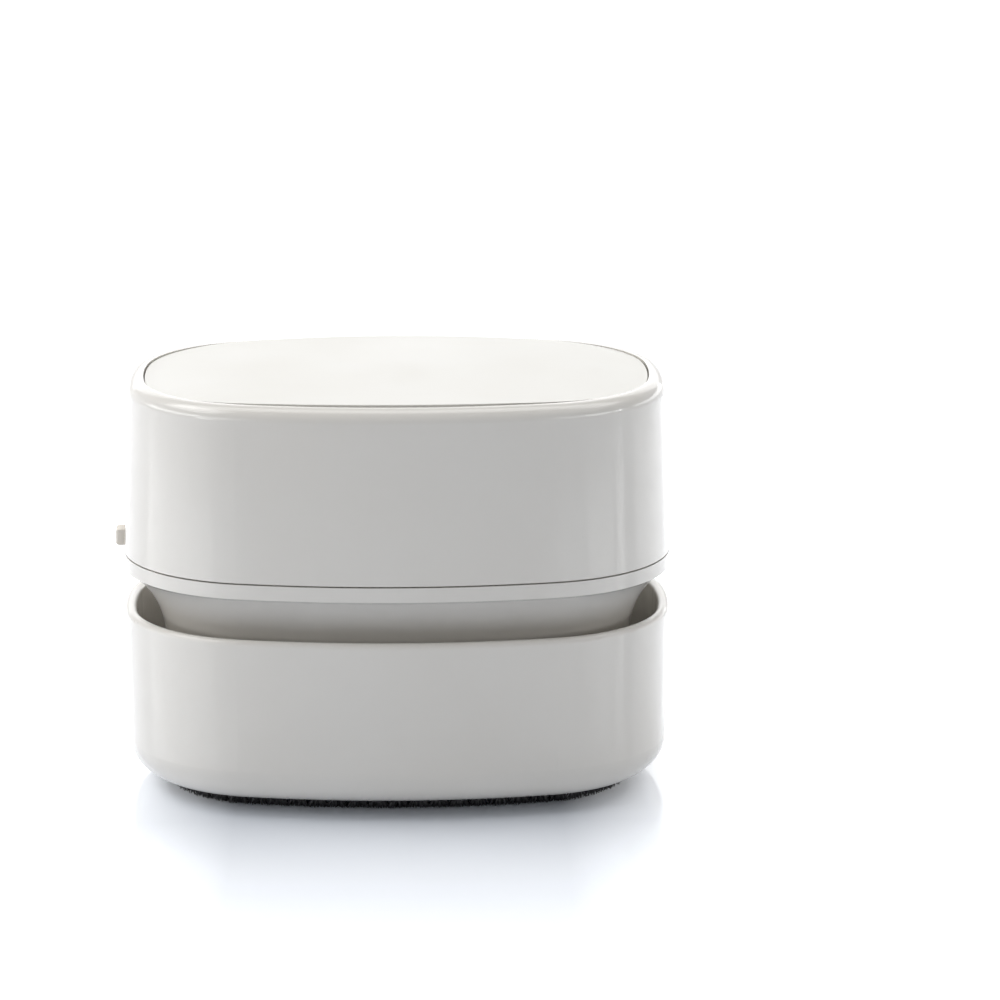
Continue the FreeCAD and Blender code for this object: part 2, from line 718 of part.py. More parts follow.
def upper_housing():
    """Drafted cover shell with a recess for the roof plate and two bays for the cells."""
    body = new_body("upper_housing")
    height = f"housing_top - {HOUSING_FOOT}"
    outline_pad(body, ["0"], HOUSING_FOOT, height, taper="-housing_draft")
    round_edges(body, "housing_edge_radius", lambda spot: near(spot.z, value("housing_top")))
    inner = f"{ROOF_UNDERSIDE} - {HOUSING_FOOT}"
    outline_pocket(body, ["housing_wall"], HOUSING_FOOT, inner, upwards=True, taper="-housing_draft")
    recess = "plate_inset - plate_groove"
    outline_pocket(body, [recess], "housing_top", f"housing_top - {PLATE_SEAT}")
    tub_floor = f"({BAY_FLOOR} - bay_wall)"
    bosses = new_sketch(body, offset=FAN_COVER_TOP)
    four_circles(bosses, "boss_radius")
    pad(body, bosses, f"{ROOF_MIDDLE} - {FAN_COVER_TOP}")
    tubs = new_sketch(body, offset=tub_floor)
    end = f"({BAY_HALF_LENGTH} + bay_wall)"
    rectangle(tubs, "bay_inner - bay_wall", f"{BAY_OUTER} + bay_wall", f"-{end}", end)
    rectangle(tubs, f"-{BAY_OUTER} - bay_wall", "bay_wall - bay_inner", f"-{end}", end)
    pad(body, tubs, f"{ROOF_MIDDLE} - {tub_floor}")
    bays = new_sketch(body, offset=PLATE_SEAT)
    rectangle(bays, "bay_inner", BAY_OUTER, f"-{BAY_HALF_LENGTH}", BAY_HALF_LENGTH)
    rectangle(bays, f"-{BAY_OUTER}", "-bay_inner", f"-{BAY_HALF_LENGTH}", BAY_HALF_LENGTH)
    pocket(body, bays, "bay_depth")
    threads = new_sketch(body, offset=FAN_COVER_TOP)
    four_circles(threads, "screw_shank + press_gap")
    depth = f"screw_length - ({FAN_COVER_TOP} - {SCREW_SEAT}) + thread_room"
    pocket(body, threads, depth, upwards=True)
    leg_slots = new_sketch(body, offset=PLATE_SEAT)
    for low, high in leg_places("fit_gap"):
        half = "(plate_leg_width / 2 + fit_gap)"
        rectangle(leg_slots, low, high, f"-{half}", half)
    pocket(body, leg_slots, "roof_thickness")
    notch = new_sketch(body, "YZ_Plane", offset="-half_width")
    reach = "(knob_length / 2 + knob_travel / 2 + knob_gap)"
    rectangle(notch, f"-{reach}", reach, f"{HOUSING_FOOT} - overreach", f"{KNOB_TOP} + knob_gap")
    pocket(body, notch, "housing_wall + 2 * overreach", upwards=True)
    return body


def leg_places(gap):
    """Left and right faces of the roof plate's two legs, opened by a gap."""
    outer = "(half_width - plate_inset - plate_leg_inset)"
    inner = f"({outer} - plate_leg_wall)"
    return [(f"{inner} - {gap}", f"{outer} + {gap}"), (f"-{outer} - {gap}", f"-{inner} + {gap}")]


def crown_cut(sketch):
    """Profile over the roof plate: an arc that sinks to both ends, closed by a flat lid."""
    wide = "(half_width - plate_inset + overreach)"
    crest = "(housing_top + plate_crown)"
    springing = "(housing_top - plate_crown)"
    lid = f"({crest} + overreach)"
    corners = [(f"-{wide}", springing), (f"-{wide}", lid), (wide, lid), (wide, springing)]
    spots = [Vector(value(x), value(y), 0) for x, y in corners]
    arc = sketch.addGeometry(Part.Arc(spots[3], Vector(0, value(crest), 0), spots[0]), False)
    edges = [sketch.addGeometry(Part.LineSegment(a, b), False) for a, b in zip(spots, spots[1:])]
    for edge, following in zip([arc] + edges, edges + [arc]):
        sketch.addConstraint(Sketcher.Constraint("Coincident", edge, 2, following, 1))
    for edge, (x, y) in zip(edges + [arc], corners):
        pin(sketch, "DistanceX", edge, 1, x)
        pin(sketch, "DistanceY", edge, 1, y)
    rise = f"({crest} - {springing})"
    pin_radius(sketch, arc, f"({wide} ^ 2 + {rise} ^ 2) / (2 * {rise})")


def top_cover():
    """Slightly crowned plate, flush in the housing's roof, with a locating leg at each end."""
    body = new_body("top_cover")
    underside = f"({PLATE_SEAT} + fit_gap)"
    outline_pad(body, ["plate_inset"], underside, "plate_thickness + plate_crown")
    crown = new_sketch(body, "XZ_Plane")
    crown_cut(crown)
    pocket(body, crown, "3 * half_depth", both_ways=True)
    legs = new_sketch(body, offset=underside)
    for left, right in leg_places("0"):
        rectangle(legs, left, right, "-plate_leg_width / 2", "plate_leg_width / 2")
    pad(body, legs, "plate_leg_length", reverse=True)
    return body


# ---------------------------------------------------------------- cells and contacts


def cell(label, x, plus_side):
    """Round cell lying along Y, with its nub towards the plus side."""
    body = new_body(label)
    profile = new_sketch(body, "YZ_Plane")
    start = "-cell_length / 2"
    shoulder = "cell_length / 2 - cell_nub_length"
    tip = "cell_length / 2"
    points = [(start, "0"), (tip, "0"), (tip, "cell_nub_radius"), (shoulder, "cell_nub_radius"),
              (shoulder, "cell_radius"), (start, "cell_radius")]
    polygon(profile, points)
    revolve(body, profile, "H_Axis")
    ends = [value(start), value(shoulder)]
    rim = value("cell_radius")
    round_edges(body, "contact_thickness", lambda spot: any(near(spot.y, end) for end in ends)
                and near(math.hypot(spot.x, spot.z), rim))
    body.Placement = Placement(Vector(), Rotation(Vector(0, 0, 1), 0 if plus_side > 0 else 180))
    bind(body, "Placement.Base.x", x)
    bind(body, "Placement.Base.z", CELL_AXIS)
    return body


def cell_places():
    """Middle of each cell across the width, with the side that its nub points to."""
    quarter = "bay_width / 4"
    middles = [f"-bay_inner - 3 * {quarter}", f"-bay_inner - {quarter}",
               f"bay_inner + {quarter}", f"bay_inner + 3 * {quarter}"]
    return list(zip(middles, (1, -1, 1, -1)))


def contact_plates():
    """Flat contacts at the plus ends, each with a raised pad that meets the cell's nub."""
    body = new_body("contact_plates")
    for x, side in cell_places():
        sign = "" if side > 0 else "-"
        wall = f"{sign}{BAY_HALF_LENGTH}"
        face = f"{sign}({BAY_HALF_LENGTH} - contact_thickness)"
        nub = f"{sign}(cell_length / 2 + press_gap)"
        plate = new_sketch(body, "YZ_Plane", offset=x)
        low = f"{CELL_AXIS} - contact_height / 2"
        high = f"{CELL_AXIS} + contact_height / 2"
        rectangle(plate, wall, face, low, high)
        pad(body, plate, "contact_width", both_ways=True)
        button = new_sketch(body, "YZ_Plane", offset=x)
        size = "cell_nub_radius"
        rectangle(button, face, nub, f"{CELL_AXIS} - {size}", f"{CELL_AXIS} + {size}")
        pad(body, button, f"2 * {size}", both_ways=True)
    return body


def contact_springs():
    """Leaf contacts at the minus ends: a plate on the wall, folded over into a bowed leaf."""
    body = new_body("contact_springs")
    for x, side in cell_places():
        sign = "-" if side > 0 else ""
        wall = f"{sign}{BAY_HALF_LENGTH}"
        face = f"{sign}({BAY_HALF_LENGTH} - contact_thickness)"
        bow = f"{sign}(cell_length / 2 + press_gap)"
        back = f"{sign}(cell_length / 2 + press_gap + contact_thickness)"
        low = f"({CELL_AXIS} - contact_height / 2)"
        high = f"({CELL_AXIS} + contact_height / 2)"
        leaf = new_sketch(body, "YZ_Plane", offset=x)
        corners = [(wall, low), (wall, high), (face, high), (bow, f"{CELL_AXIS} + contact_thickness"),
                   (bow, f"{CELL_AXIS} - contact_thickness"), (face, f"{low} + contact_thickness"),
                   (face, f"{low} + 3 * contact_thickness"), (back, f"{CELL_AXIS} - contact_thickness"),
                   (back, f"{CELL_AXIS} + contact_thickness"), (face, f"{high} - 3 * contact_thickness"),
                   (face, low)]
        polygon(leaf, corners)
        pad(body, leaf, "contact_width", both_ways=True)
    return body


# ---------------------------------------------------------------- motor and fan


def fan_cover():
    """Plate over the fan chamber that carries the motor collar and the switch board's posts."""
    body = new_body("fan_cover")
    outline_pad(body, ["fan_seat_inset + screw_gap"], "fan_seat", "fan_cover_thickness")
    collar = new_sketch(body, offset=FAN_COVER_TOP)
    circle(collar, "motor_radius + press_gap + collar_wall")
    circle(collar, "motor_radius + press_gap")
    pad(body, collar, "collar_height")
    posts = new_sketch(body, offset=FAN_COVER_TOP)
    for side in ("", "-"):
        circle(posts, "board_post_radius", BOARD_X, side + BOARD_SCREW_Y)
    pad(body, posts, BOARD_POST_HEIGHT)
    post_holes = new_sketch(body, offset=BOARD_UNDERSIDE)
    for side in ("", "-"):
        circle(post_holes, "small_screw_shank + press_gap", BOARD_X, side + BOARD_SCREW_Y)
    pocket(body, post_holes, BOARD_POST_HEIGHT)
    holes = new_sketch(body, offset=FAN_COVER_TOP)
    circle(holes, "motor_boss_radius + screw_gap")
    for x in ("-motor_screw_spread", "motor_screw_spread"):
        circle(holes, "small_screw_shank + screw_gap", x)
    four_circles(holes, "screw_shank + screw_gap")
    pocket(body, holes, "fan_cover_thickness")
    return body


def motor_can():
    """Steel can of the motor, shaft down, with its bearing boss in the plate."""
    body = new_body("motor_can")
    profile = new_sketch(body, "XZ_Plane")
    bore = "shaft_radius + running_gap"
    foot = f"{FAN_COVER_TOP} - motor_boss_height"
    inside = f"{FAN_COVER_TOP} + shaft_bearing_depth"
    points = [(bore, foot), ("motor_boss_radius", foot), ("motor_boss_radius", FAN_COVER_TOP),
              ("motor_radius", FAN_COVER_TOP), ("motor_radius", MOTOR_TOP), ("0", MOTOR_TOP),
              ("0", inside), (bore, inside)]
    polygon(profile, points)
    revolve(body, profile)
    levels = [value(FAN_COVER_TOP), value(MOTOR_TOP)]
    rim = value("motor_radius")
    round_edges(body, "can_edge_radius", lambda spot: any(near(spot.z, level) for level in levels)
                and near(math.hypot(spot.x, spot.y), rim))
    threads = new_sketch(body, offset=FAN_COVER_TOP)
    for x in ("-motor_screw_spread", "motor_screw_spread"):
        circle(threads, "small_screw_shank + press_gap", x)
    pocket(body, threads, "small_screw_length - fan_cover_thickness + screw_gap", upwards=True)
    return body


def motor_end_cap():
    """Plastic cap on the brush end of the motor, with a boss over the rear bearing."""
    body = new_body("motor_end_cap")
    profile = new_sketch(body, "XZ_Plane")
    shoulder = f"{MOTOR_TOP} + end_cap_height"
    top = f"{shoulder} + motor_boss_height"
    foot = "motor_radius - end_cap_step"
    boss = "motor_boss_radius"
    points = [("0", MOTOR_TOP), (foot, MOTOR_TOP), (f"{foot} - end_cap_step", shoulder),
              (boss, shoulder), (boss, top), ("0", top)]
    polygon(profile, points)
    revolve(body, profile)
    return body


def motor_terminals():
    """Two solder tabs standing on the end cap."""
    body = new_body("motor_terminals")
    tabs = new_sketch(body, offset=f"{MOTOR_TOP} + end_cap_height")
    for middle in ("-terminal_spread", "terminal_spread"):
        sides = (f"{middle} - terminal_thickness / 2", f"{middle} + terminal_thickness / 2")
        rectangle(tabs, *sides, "-terminal_width / 2", "terminal_width / 2")
    pad(body, tabs, "terminal_height")
    return body


def motor_shaft():
    """Plain shaft from the motor's bearing down through the impeller hub."""
    body = new_body("motor_shaft")
    foot = f"({IMPELLER_BOTTOM} + shaft_sink)"
    section = new_sketch(body, offset=foot)
    circle(section, "shaft_radius")
    pad(body, section, f"{FAN_COVER_TOP} + shaft_bearing_depth - running_gap - {foot}")
    return body


def blade_end(middle_x, middle_y):
    """Angle at which a blade's arc, about its middle, has passed the rim of the impeller."""
    reach = f"({IMPELLER_RADIUS} + blade_trim / 2)"
    away = f"hypot({middle_x}; {middle_y})"
    opening = f"acos(({reach} ^ 2 - {away} ^ 2 - {BLADE_CURVE} ^ 2) / (2 * {BLADE_CURVE} * {away}))"
    return f"(atan2({middle_y}; {middle_x}) - {opening})"


def impeller():
    """Centrifugal fan: back plate, domed hub and backward-curved blades that taper to the rim."""
    body = new_body("impeller")
    profile = new_sketch(body, "XZ_Plane")
    bore = "shaft_radius + press_gap"
    under = "impeller_top - impeller_plate"
    nose = f"{IMPELLER_BOTTOM} + hub_nose_height"
    flare = f"{under} - hub_flare_height"
    points = [(bore, IMPELLER_BOTTOM), ("hub_nose_radius", IMPELLER_BOTTOM), ("hub_radius", nose),
              ("hub_flare_radius", flare), ("hub_foot_radius", under), (IMPELLER_RADIUS, under),
              (IMPELLER_RADIUS, "impeller_top"), (bore, "impeller_top")]
    polygon(profile, points)
    revolve(body, profile)
    blade = new_sketch(body, offset=IMPELLER_BOTTOM)
    middle = (f"(blade_start - {BLADE_CURVE} * cos(blade_lean))", f"({BLADE_CURVE} * sin(blade_lean))")
    faces = (f"({BLADE_CURVE} - blade_wall / 2)", f"({BLADE_CURVE} + blade_wall / 2)")
    arc_band(blade, middle, *faces, "-blade_lean", blade_end(*middle))
    first = pad(body, blade, "blade_height + impeller_plate / 2")
    ring = body.newObject("PartDesign::PolarPattern", "blade_ring")
    ring.Originals = [first]
    ring.Axis = (origin_feature(body, "Z_Axis"), [""])
    ring.Angle = 360
    bind(ring, "Occurrences", "blade_count")
    body.Tip = ring
    doc.recompute()
    shroud = new_sketch(body, "XZ_Plane")
    beyond = f"({IMPELLER_RADIUS} + blade_trim)"
    below = f"{IMPELLER_BOTTOM} - overreach"
    slope = f"{IMPELLER_BOTTOM} + blade_taper"
    tips = [("blade_start", below), (beyond, below), (beyond, slope), ("blade_start", IMPELLER_BOTTOM)]
    polygon(shroud, tips)
    groove = body.newObject("PartDesign::Groove", "blade_taper")
    groove.Profile = (shroud, [""])
    groove.ReferenceAxis = (shroud, ["V_Axis"])
    groove.Angle = 360
    doc.recompute()
    trim = new_sketch(body, offset=IMPELLER_BOTTOM)
    circle(trim, beyond)
    circle(trim, IMPELLER_RADIUS)
    pocket(body, trim, "blade_height + impeller_plate", upwards=True)
    return body


# ---------------------------------------------------------------- switch


def switch_knob():
    """Grip that stands proud of the left end, with an inner flange and a fork for the lever."""
    body = new_body("switch_knob")
    face = "(-half_width - knob_proud)"
    grip = new_sketch(body, "YZ_Plane", offset=face)
    half = "knob_length / 2"
    rectangle(grip, f"{KNOB_REST} - {half}", f"{KNOB_REST} + {half}", KNOB_FOOT, KNOB_TOP)
    pad(body, grip, "knob_proud + knob_flange_inset")
    proud = value(face)
    round_edges(body, "knob_edge_radius", lambda spot: near(spot.x, proud))
    grooves = new_sketch(body, offset=KNOB_TOP)
    count = round(value("knob_groove_count"))
    for step in range(count):
        middle = f"{KNOB_REST} + {step - (count - 1) / 2} * knob_groove_pitch"
        sides = (f"{middle} - knob_groove_width / 2", f"{middle} + knob_groove_width / 2")
        rectangle(grooves, f"{face} - knob_groove_width", f"{face} + knob_groove_depth", *sides)
    pocket(body, grooves, "knob_height + knob_gap")
    flange = new_sketch(body, "YZ_Plane", offset=f"-{FLANGE_FACE}")
    wings = (f"{KNOB_REST} - {FLANGE_HALF}", f"{KNOB_REST} + {FLANGE_HALF}")
    rectangle(flange, *wings, KNOB_FOOT, f"{KNOB_FOOT} + knob_flange_height")
    pad(body, flange, "knob_flange_wall")
    levels = (f"{LEVER_MIDDLE} - lever_height", f"{LEVER_MIDDLE} + lever_height")
    for sign in ("-", "+"):
        fork = new_sketch(body, "YZ_Plane", offset=f"-{FLANGE_BACK}")
        inner_face = f"{KNOB_REST} {sign} (lever_width / 2 + press_gap)"
        outer_face = f"{KNOB_REST} {sign} (lever_width / 2 + press_gap + fork_wall)"
        rectangle(fork, inner_face, outer_face, *levels)
        pad(body, fork, "fork_length")
    return body


def switch_lever():
    """Lever of the slide switch, held in the knob's fork."""
    body = new_body("switch_lever")
    lever = new_sketch(body, "YZ_Plane", offset=f"-{SWITCH_FACE} + switch_window - fit_gap")
    sides = (f"{KNOB_REST} - lever_width / 2", f"{KNOB_REST} + lever_width / 2")
    rectangle(lever, *sides, f"{LEVER_MIDDLE} - lever_height / 2", f"{LEVER_MIDDLE} + lever_height / 2")
    pad(body, lever, "lever_reach", reverse=True)
    return body


def switch_case():
    """Folded metal case of the slide switch, with the window that its lever slides along."""
    body = new_body("switch_case")
    block = new_sketch(body, "YZ_Plane", offset=f"-{SWITCH_FACE}")
    half = "switch_length / 2"
    rectangle(block, f"-{half}", half, BOARD_TOP, f"{BOARD_TOP} + switch_height")
    pad(body, block, "switch_depth")
    window = new_sketch(body, "YZ_Plane", offset=f"-{SWITCH_FACE}")
    reach = "(lever_width / 2 + knob_travel / 2 + fit_gap)"
    rise = "(lever_height / 2 + fit_gap)"
    rectangle(window, f"-{reach}", reach, f"{LEVER_MIDDLE} - {rise}", f"{LEVER_MIDDLE} + {rise}")
    pocket(body, window, "switch_window", upwards=True)
    return body


def switch_board():
    """Small circuit board under the switch, screwed to two posts."""
    body = new_body("switch_board")
    plan = new_sketch(body, offset=BOARD_UNDERSIDE)
    half = "board_width / 2"
    rectangle(plan, f"{BOARD_X} - {half}", f"{BOARD_X} + {half}", "-board_length / 2", "board_length / 2")
    pad(body, plan, "board_thickness")
    holes = new_sketch(body, offset=BOARD_TOP)
    for side in ("", "-"):
        circle(holes, "small_screw_shank + screw_gap", BOARD_X, side + BOARD_SCREW_Y)
    pocket(body, holes, "board_thickness")
    return body


# ---------------------------------------------------------------- screws


def screws(label, places, seat, upwards, size):
    """Equal slotted screws: a head outside the seat plane and a shank beyond it."""
    shank, head, head_height, length = size
    body = new_body(label)
    heads = new_sketch(body, offset=seat)
    shanks = new_sketch(body, offset=seat)
    for x, y in places:
        circle(heads, head, x, y)
        circle(shanks, shank, x, y)
    pad(body, heads, head_height, reverse=upwards)
    pad(body, shanks, length, reverse=not upwards)
    sign = "-" if upwards else "+"
    slots = new_sketch(body, offset=f"{seat} {sign} {head_height}")
    for x, y in places:
        half = "drive_slot / 2"
        left = f"{x} - {head} - overreach"
        right = f"{x} + {head} + overreach"
        rectangle(slots, left, right, f"{y} - {half}", f"{y} + {half}")
    pocket(body, slots, f"{head_height} / 2", upwards=upwards)
    return body


def all_screws():
    """The three kinds of screw, each kind a node."""
    large = ("screw_shank", "screw_head", "screw_head_height", "screw_length")
    small = ("small_screw_shank", "small_screw_head", "small_screw_head_height", "small_screw_length")
    quarters = [(x + COLUMN_X, y + COLUMN_Y) for x in ("", "-") for y in ("", "-")]
    sides = [(x, "0") for x in ("-motor_screw_spread", "motor_screw_spread")]
    ends = [(BOARD_X, side + BOARD_SCREW_Y) for side in ("", "-")]
    return [
        screws("chassis_screws", quarters, SCREW_SEAT, True, large),
        screws("motor_screws", sides, "fan_seat", True, small),
        screws("board_screws", ends, BOARD_TOP, False, small),
    ]


# ---------------------------------------------------------------- assembly


def build():
    """Every sub-part of the vacuum."""
    wide = value("half_width") / value("half_depth")
    parts = [dust_tray(), tray_seal(), brush_ring()]
    parts += [
        bristles("bristles_front", lambda spot: spot.y < 0 and abs(spot.y) * wide >= abs(spot.x)),
        bristles("bristles_back", lambda spot: spot.y > 0 and abs(spot.y) * wide >= abs(spot.x)),
        bristles("bristles_left", lambda spot: spot.x < 0 and abs(spot.y) * wide < abs(spot.x)),
        bristles("bristles_right", lambda spot: spot.x > 0 and abs(spot.y) * wide < abs(spot.x)),
    ]
    parts += [head_chassis(), fan_housing(), filter_frame(), filter_pad(), fan_cover()]
    parts += [motor_can(), motor_end_cap(), motor_terminals(), motor_shaft(), impeller()]
    parts += [switch_board(), switch_case(), switch_lever(), switch_knob()]
    parts += [upper_housing(), top_cover(), contact_plates(), contact_springs()]
    for number, (x, side) in enumerate(cell_places(), start=1):
        parts.append(cell(f"cell_{number}", x, side))
    parts += all_screws()
    return parts


def check(parts):
    """Stop before anything is written if a feature failed or a sub-part has no sound solid."""
    for item in doc.Objects:
        if "Invalid" in item.State or "Error" in item.State:
            raise RuntimeError(f"{item.Label} is {item.State}")
    for part in parts:
        if part.Shape.isNull() or not part.Shape.isValid() or not part.Shape.Solids:
            raise RuntimeError(f"{part.Label} has no valid solid")


nodes = build()
doc.recompute()
check(nodes)
os.makedirs("parts", exist_ok=True)
for node in nodes:
    node.Shape.exportStep(f"parts/{node.Label}.step")
    print(f"{node.Label}: {len(node.Shape.Solids)} solids, {node.Shape.Volume / 1000:.2f} cm3")
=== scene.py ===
import json
import math
import random

import bmesh
import bpy
from mathutils import Matrix, Vector


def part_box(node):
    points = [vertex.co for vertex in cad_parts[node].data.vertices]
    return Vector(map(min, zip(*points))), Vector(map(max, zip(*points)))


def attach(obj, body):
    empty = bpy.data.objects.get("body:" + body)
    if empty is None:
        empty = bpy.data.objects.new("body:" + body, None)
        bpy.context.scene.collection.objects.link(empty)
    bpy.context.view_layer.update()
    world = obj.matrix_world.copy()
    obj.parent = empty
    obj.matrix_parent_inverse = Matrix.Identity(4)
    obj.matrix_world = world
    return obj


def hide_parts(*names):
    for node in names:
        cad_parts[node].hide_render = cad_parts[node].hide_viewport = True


# Desktop mini vacuum cleaner, in metres, dressed round its CAD frame.
# X runs along the width, -Y is the front and Z is up; the origin lies on the desk.

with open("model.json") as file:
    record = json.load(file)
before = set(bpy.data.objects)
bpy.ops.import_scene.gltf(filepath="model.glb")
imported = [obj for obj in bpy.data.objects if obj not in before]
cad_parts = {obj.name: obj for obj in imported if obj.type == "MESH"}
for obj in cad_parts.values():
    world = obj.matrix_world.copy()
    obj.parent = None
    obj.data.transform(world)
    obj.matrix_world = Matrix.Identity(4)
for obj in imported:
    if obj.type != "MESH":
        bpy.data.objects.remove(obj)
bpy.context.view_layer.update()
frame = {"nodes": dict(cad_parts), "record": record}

MM = 0.001

# Colours, in linear light.
SHELL_WHITE = (0.785, 0.76, 0.715, 1.0)
SHELL_CREAM = (0.77, 0.74, 0.69, 1.0)
PLATE_WHITE = (0.88, 0.87, 0.83, 1.0)
PLATE_CREAM = (0.865, 0.85, 0.80, 1.0)
KNOB_BEIGE = (0.93, 0.88, 0.80, 1.0)
KNOB_TAN = (0.90, 0.84, 0.76, 1.0)
NYLON_BLACK = (0.012, 0.012, 0.014, 1.0)
NYLON_GREY = (0.045, 0.045, 0.05, 1.0)
BLACK_PLASTIC = (0.02, 0.02, 0.022, 1.0)
DARK_PLASTIC = (0.035, 0.035, 0.038, 1.0)
FAN_GREY = (0.06, 0.065, 0.075, 1.0)
FAN_DARK = (0.045, 0.048, 0.055, 1.0)
RUBBER_GREY = (0.10, 0.10, 0.10, 1.0)
RUBBER_DARK = (0.075, 0.075, 0.078, 1.0)
FRAME_GREY = (0.52, 0.52, 0.50, 1.0)
FRAME_PALE = (0.57, 0.57, 0.55, 1.0)
INNER_WHITE = (0.66, 0.65, 0.61, 1.0)
INNER_CREAM = (0.62, 0.60, 0.55, 1.0)
FELT_WHITE = (0.78, 0.77, 0.72, 1.0)
FELT_GREY = (0.60, 0.59, 0.55, 1.0)
STEEL = (0.56, 0.56, 0.57, 1.0)
STEEL_DULL = (0.42, 0.42, 0.43, 1.0)
NICKEL = (0.68, 0.66, 0.60, 1.0)
NICKEL_DULL = (0.55, 0.53, 0.48, 1.0)
BRASS = (0.72, 0.52, 0.22, 1.0)
BRASS_DULL = (0.52, 0.37, 0.16, 1.0)
LAMINATE_TAN = (0.36, 0.22, 0.07, 1.0)
LAMINATE_BROWN = (0.25, 0.14, 0.045, 1.0)
WRAP_GREEN = (0.035, 0.10, 0.075, 1.0)
WRAP_DARK = (0.022, 0.07, 0.052, 1.0)
WRAP_SILVER = (0.52, 0.53, 0.53, 1.0)
FLOOR_WHITE = (0.82, 0.865, 0.94, 1.0)
FLOOR_PALE = (0.81, 0.855, 0.93, 1.0)


# ---------------------------------------------------------------- shared effects


def new_group(name, inputs, outputs):
    """Shader node group with named sockets, and its input and output nodes."""
    tree = bpy.data.node_groups.new(name, "ShaderNodeTree")
    for socket, kind, start in inputs:
        made = tree.interface.new_socket(name=socket, in_out="INPUT",
                                         socket_type="NodeSocket" + kind)
        if start is not None:
            made.default_value = start
    for socket, kind in outputs:
        tree.interface.new_socket(name=socket, in_out="OUTPUT",
                                  socket_type="NodeSocket" + kind)
    given = tree.nodes.new("NodeGroupInput").outputs
    return tree, given, tree.nodes.new("NodeGroupOutput").inputs


def noise(tree, place, scale, detail=2.0, roughness=0.5):
    """Noise texture over a place vector, with a number or a socket as its scale."""
    node = tree.nodes.new("ShaderNodeTexNoise")
    tree.links.new(place, node.inputs["Vector"])
    if isinstance(scale, float):
        node.inputs["Scale"].default_value = scale
    else:
        tree.links.new(scale, node.inputs["Scale"])
    node.inputs["Detail"].default_value = detail
    node.inputs["Roughness"].default_value = roughness
    return node.outputs["Fac"]


def calc(tree, operation, first, second=0.0):
    """Math node on two sockets or numbers."""
    node = tree.nodes.new("ShaderNodeMath")
    node.operation = operation
    for index, item in enumerate((first, second)):
        if isinstance(item, (int, float)):
            node.inputs[index].default_value = item
        else:
            tree.links.new(item, node.inputs[index])
    return node.outputs["Value"]


def remap(tree, item, low, high, to_low=0.0, to_high=1.0):
    """Stretch a value from one range to another and hold it there."""
    node = tree.nodes.new("ShaderNodeMapRange")
    tree.links.new(item, node.inputs["Value"])
    node.inputs["From Min"].default_value = low
    node.inputs["From Max"].default_value = high
    node.inputs["To Min"].default_value = to_low
    node.inputs["To Max"].default_value = to_high
    return node.outputs["Result"]


def mix_colour(tree, factor, first, second):
    """Mix two colours, given as values or sockets, by a mask."""
    node = tree.nodes.new("ShaderNodeMix")
    node.data_type = "RGBA"
    tree.links.new(factor, node.inputs["Factor"])
    for name, item in (("A", first), ("B", second)):
        socket = next(s for s in node.inputs if s.name == name and s.type == "RGBA")
        if isinstance(item, tuple):
            socket.default_value = item
        else:
            tree.links.new(item, socket)
    return next(s for s in node.outputs if s.type == "RGBA")


def stretched(tree, place, x, y, z):
    """Place vector with each axis scaled."""
    node = tree.nodes.new("ShaderNodeMapping")
    tree.links.new(place, node.inputs["Vector"])
    node.inputs["Scale"].default_value = (x, y, z)
    return node.outputs["Vector"]


def seen_directly(tree):
    """Mask of the rays that the eye, a mirror or clear glass sends out."""
    ray = tree.nodes.new("ShaderNodeLightPath").outputs
    seen = calc(tree, "MAXIMUM", ray["Is Camera Ray"], ray["Is Glossy Ray"])
    return calc(tree, "MAXIMUM", seen, ray["Is Transmission Ray"])


WAVE_SHARE = 0.8
DRIFT_SCALE = 22.0


def moulding_group():
    """Skin of an injection moulding: slow waviness, fine grain and slow drift of tone."""
    inputs = [("Vector", "Vector", None), ("Wave Scale", "Float", 110.0),
              ("Grain Scale", "Float", 1400.0)]
    outputs = [("Height", "Float"), ("Tone", "Float")]
    tree, given, result = new_group("moulded_skin", inputs, outputs)
    wave = noise(tree, given["Vector"], given["Wave Scale"])
    grain = noise(tree, given["Vector"], given["Grain Scale"], 3.0)
    drift = noise(tree, given["Vector"], DRIFT_SCALE, 3.0)
    height = calc(tree, "ADD", calc(tree, "MULTIPLY", wave, WAVE_SHARE),
                  calc(tree, "MULTIPLY", grain, 1.0 - WAVE_SHARE))
    tree.links.new(height, result["Height"])
    tree.links.new(remap(tree, drift, 0.3, 0.7), result["Tone"])
    return tree


WIPING_TURNS = (0.5, -1.1)
WIPING_STRETCH = 38.0


def hairline_group():
    """Fine wiping marks in two directions, as a mask."""
    inputs = [("Vector", "Vector", None), ("Scale", "Float", 60.0)]
    tree, given, result = new_group("hairlines", inputs, [("Mask", "Float")])
    marks = []
    for turn in WIPING_TURNS:
        mapping = tree.nodes.new("ShaderNodeMapping")
        tree.links.new(given["Vector"], mapping.inputs["Vector"])
        mapping.inputs["Rotation"].default_value = (0.3, turn, turn)
        mapping.inputs["Scale"].default_value = (1.0, 1.0, WIPING_STRETCH)
        streak = noise(tree, mapping.outputs["Vector"], given["Scale"], 2.0, 0.6)
        marks.append(remap(tree, streak, 0.66, 0.72))
    tree.links.new(calc(tree, "MAXIMUM", *marks), result["Mask"])
    return tree


SPECK_SHARE = 0.16


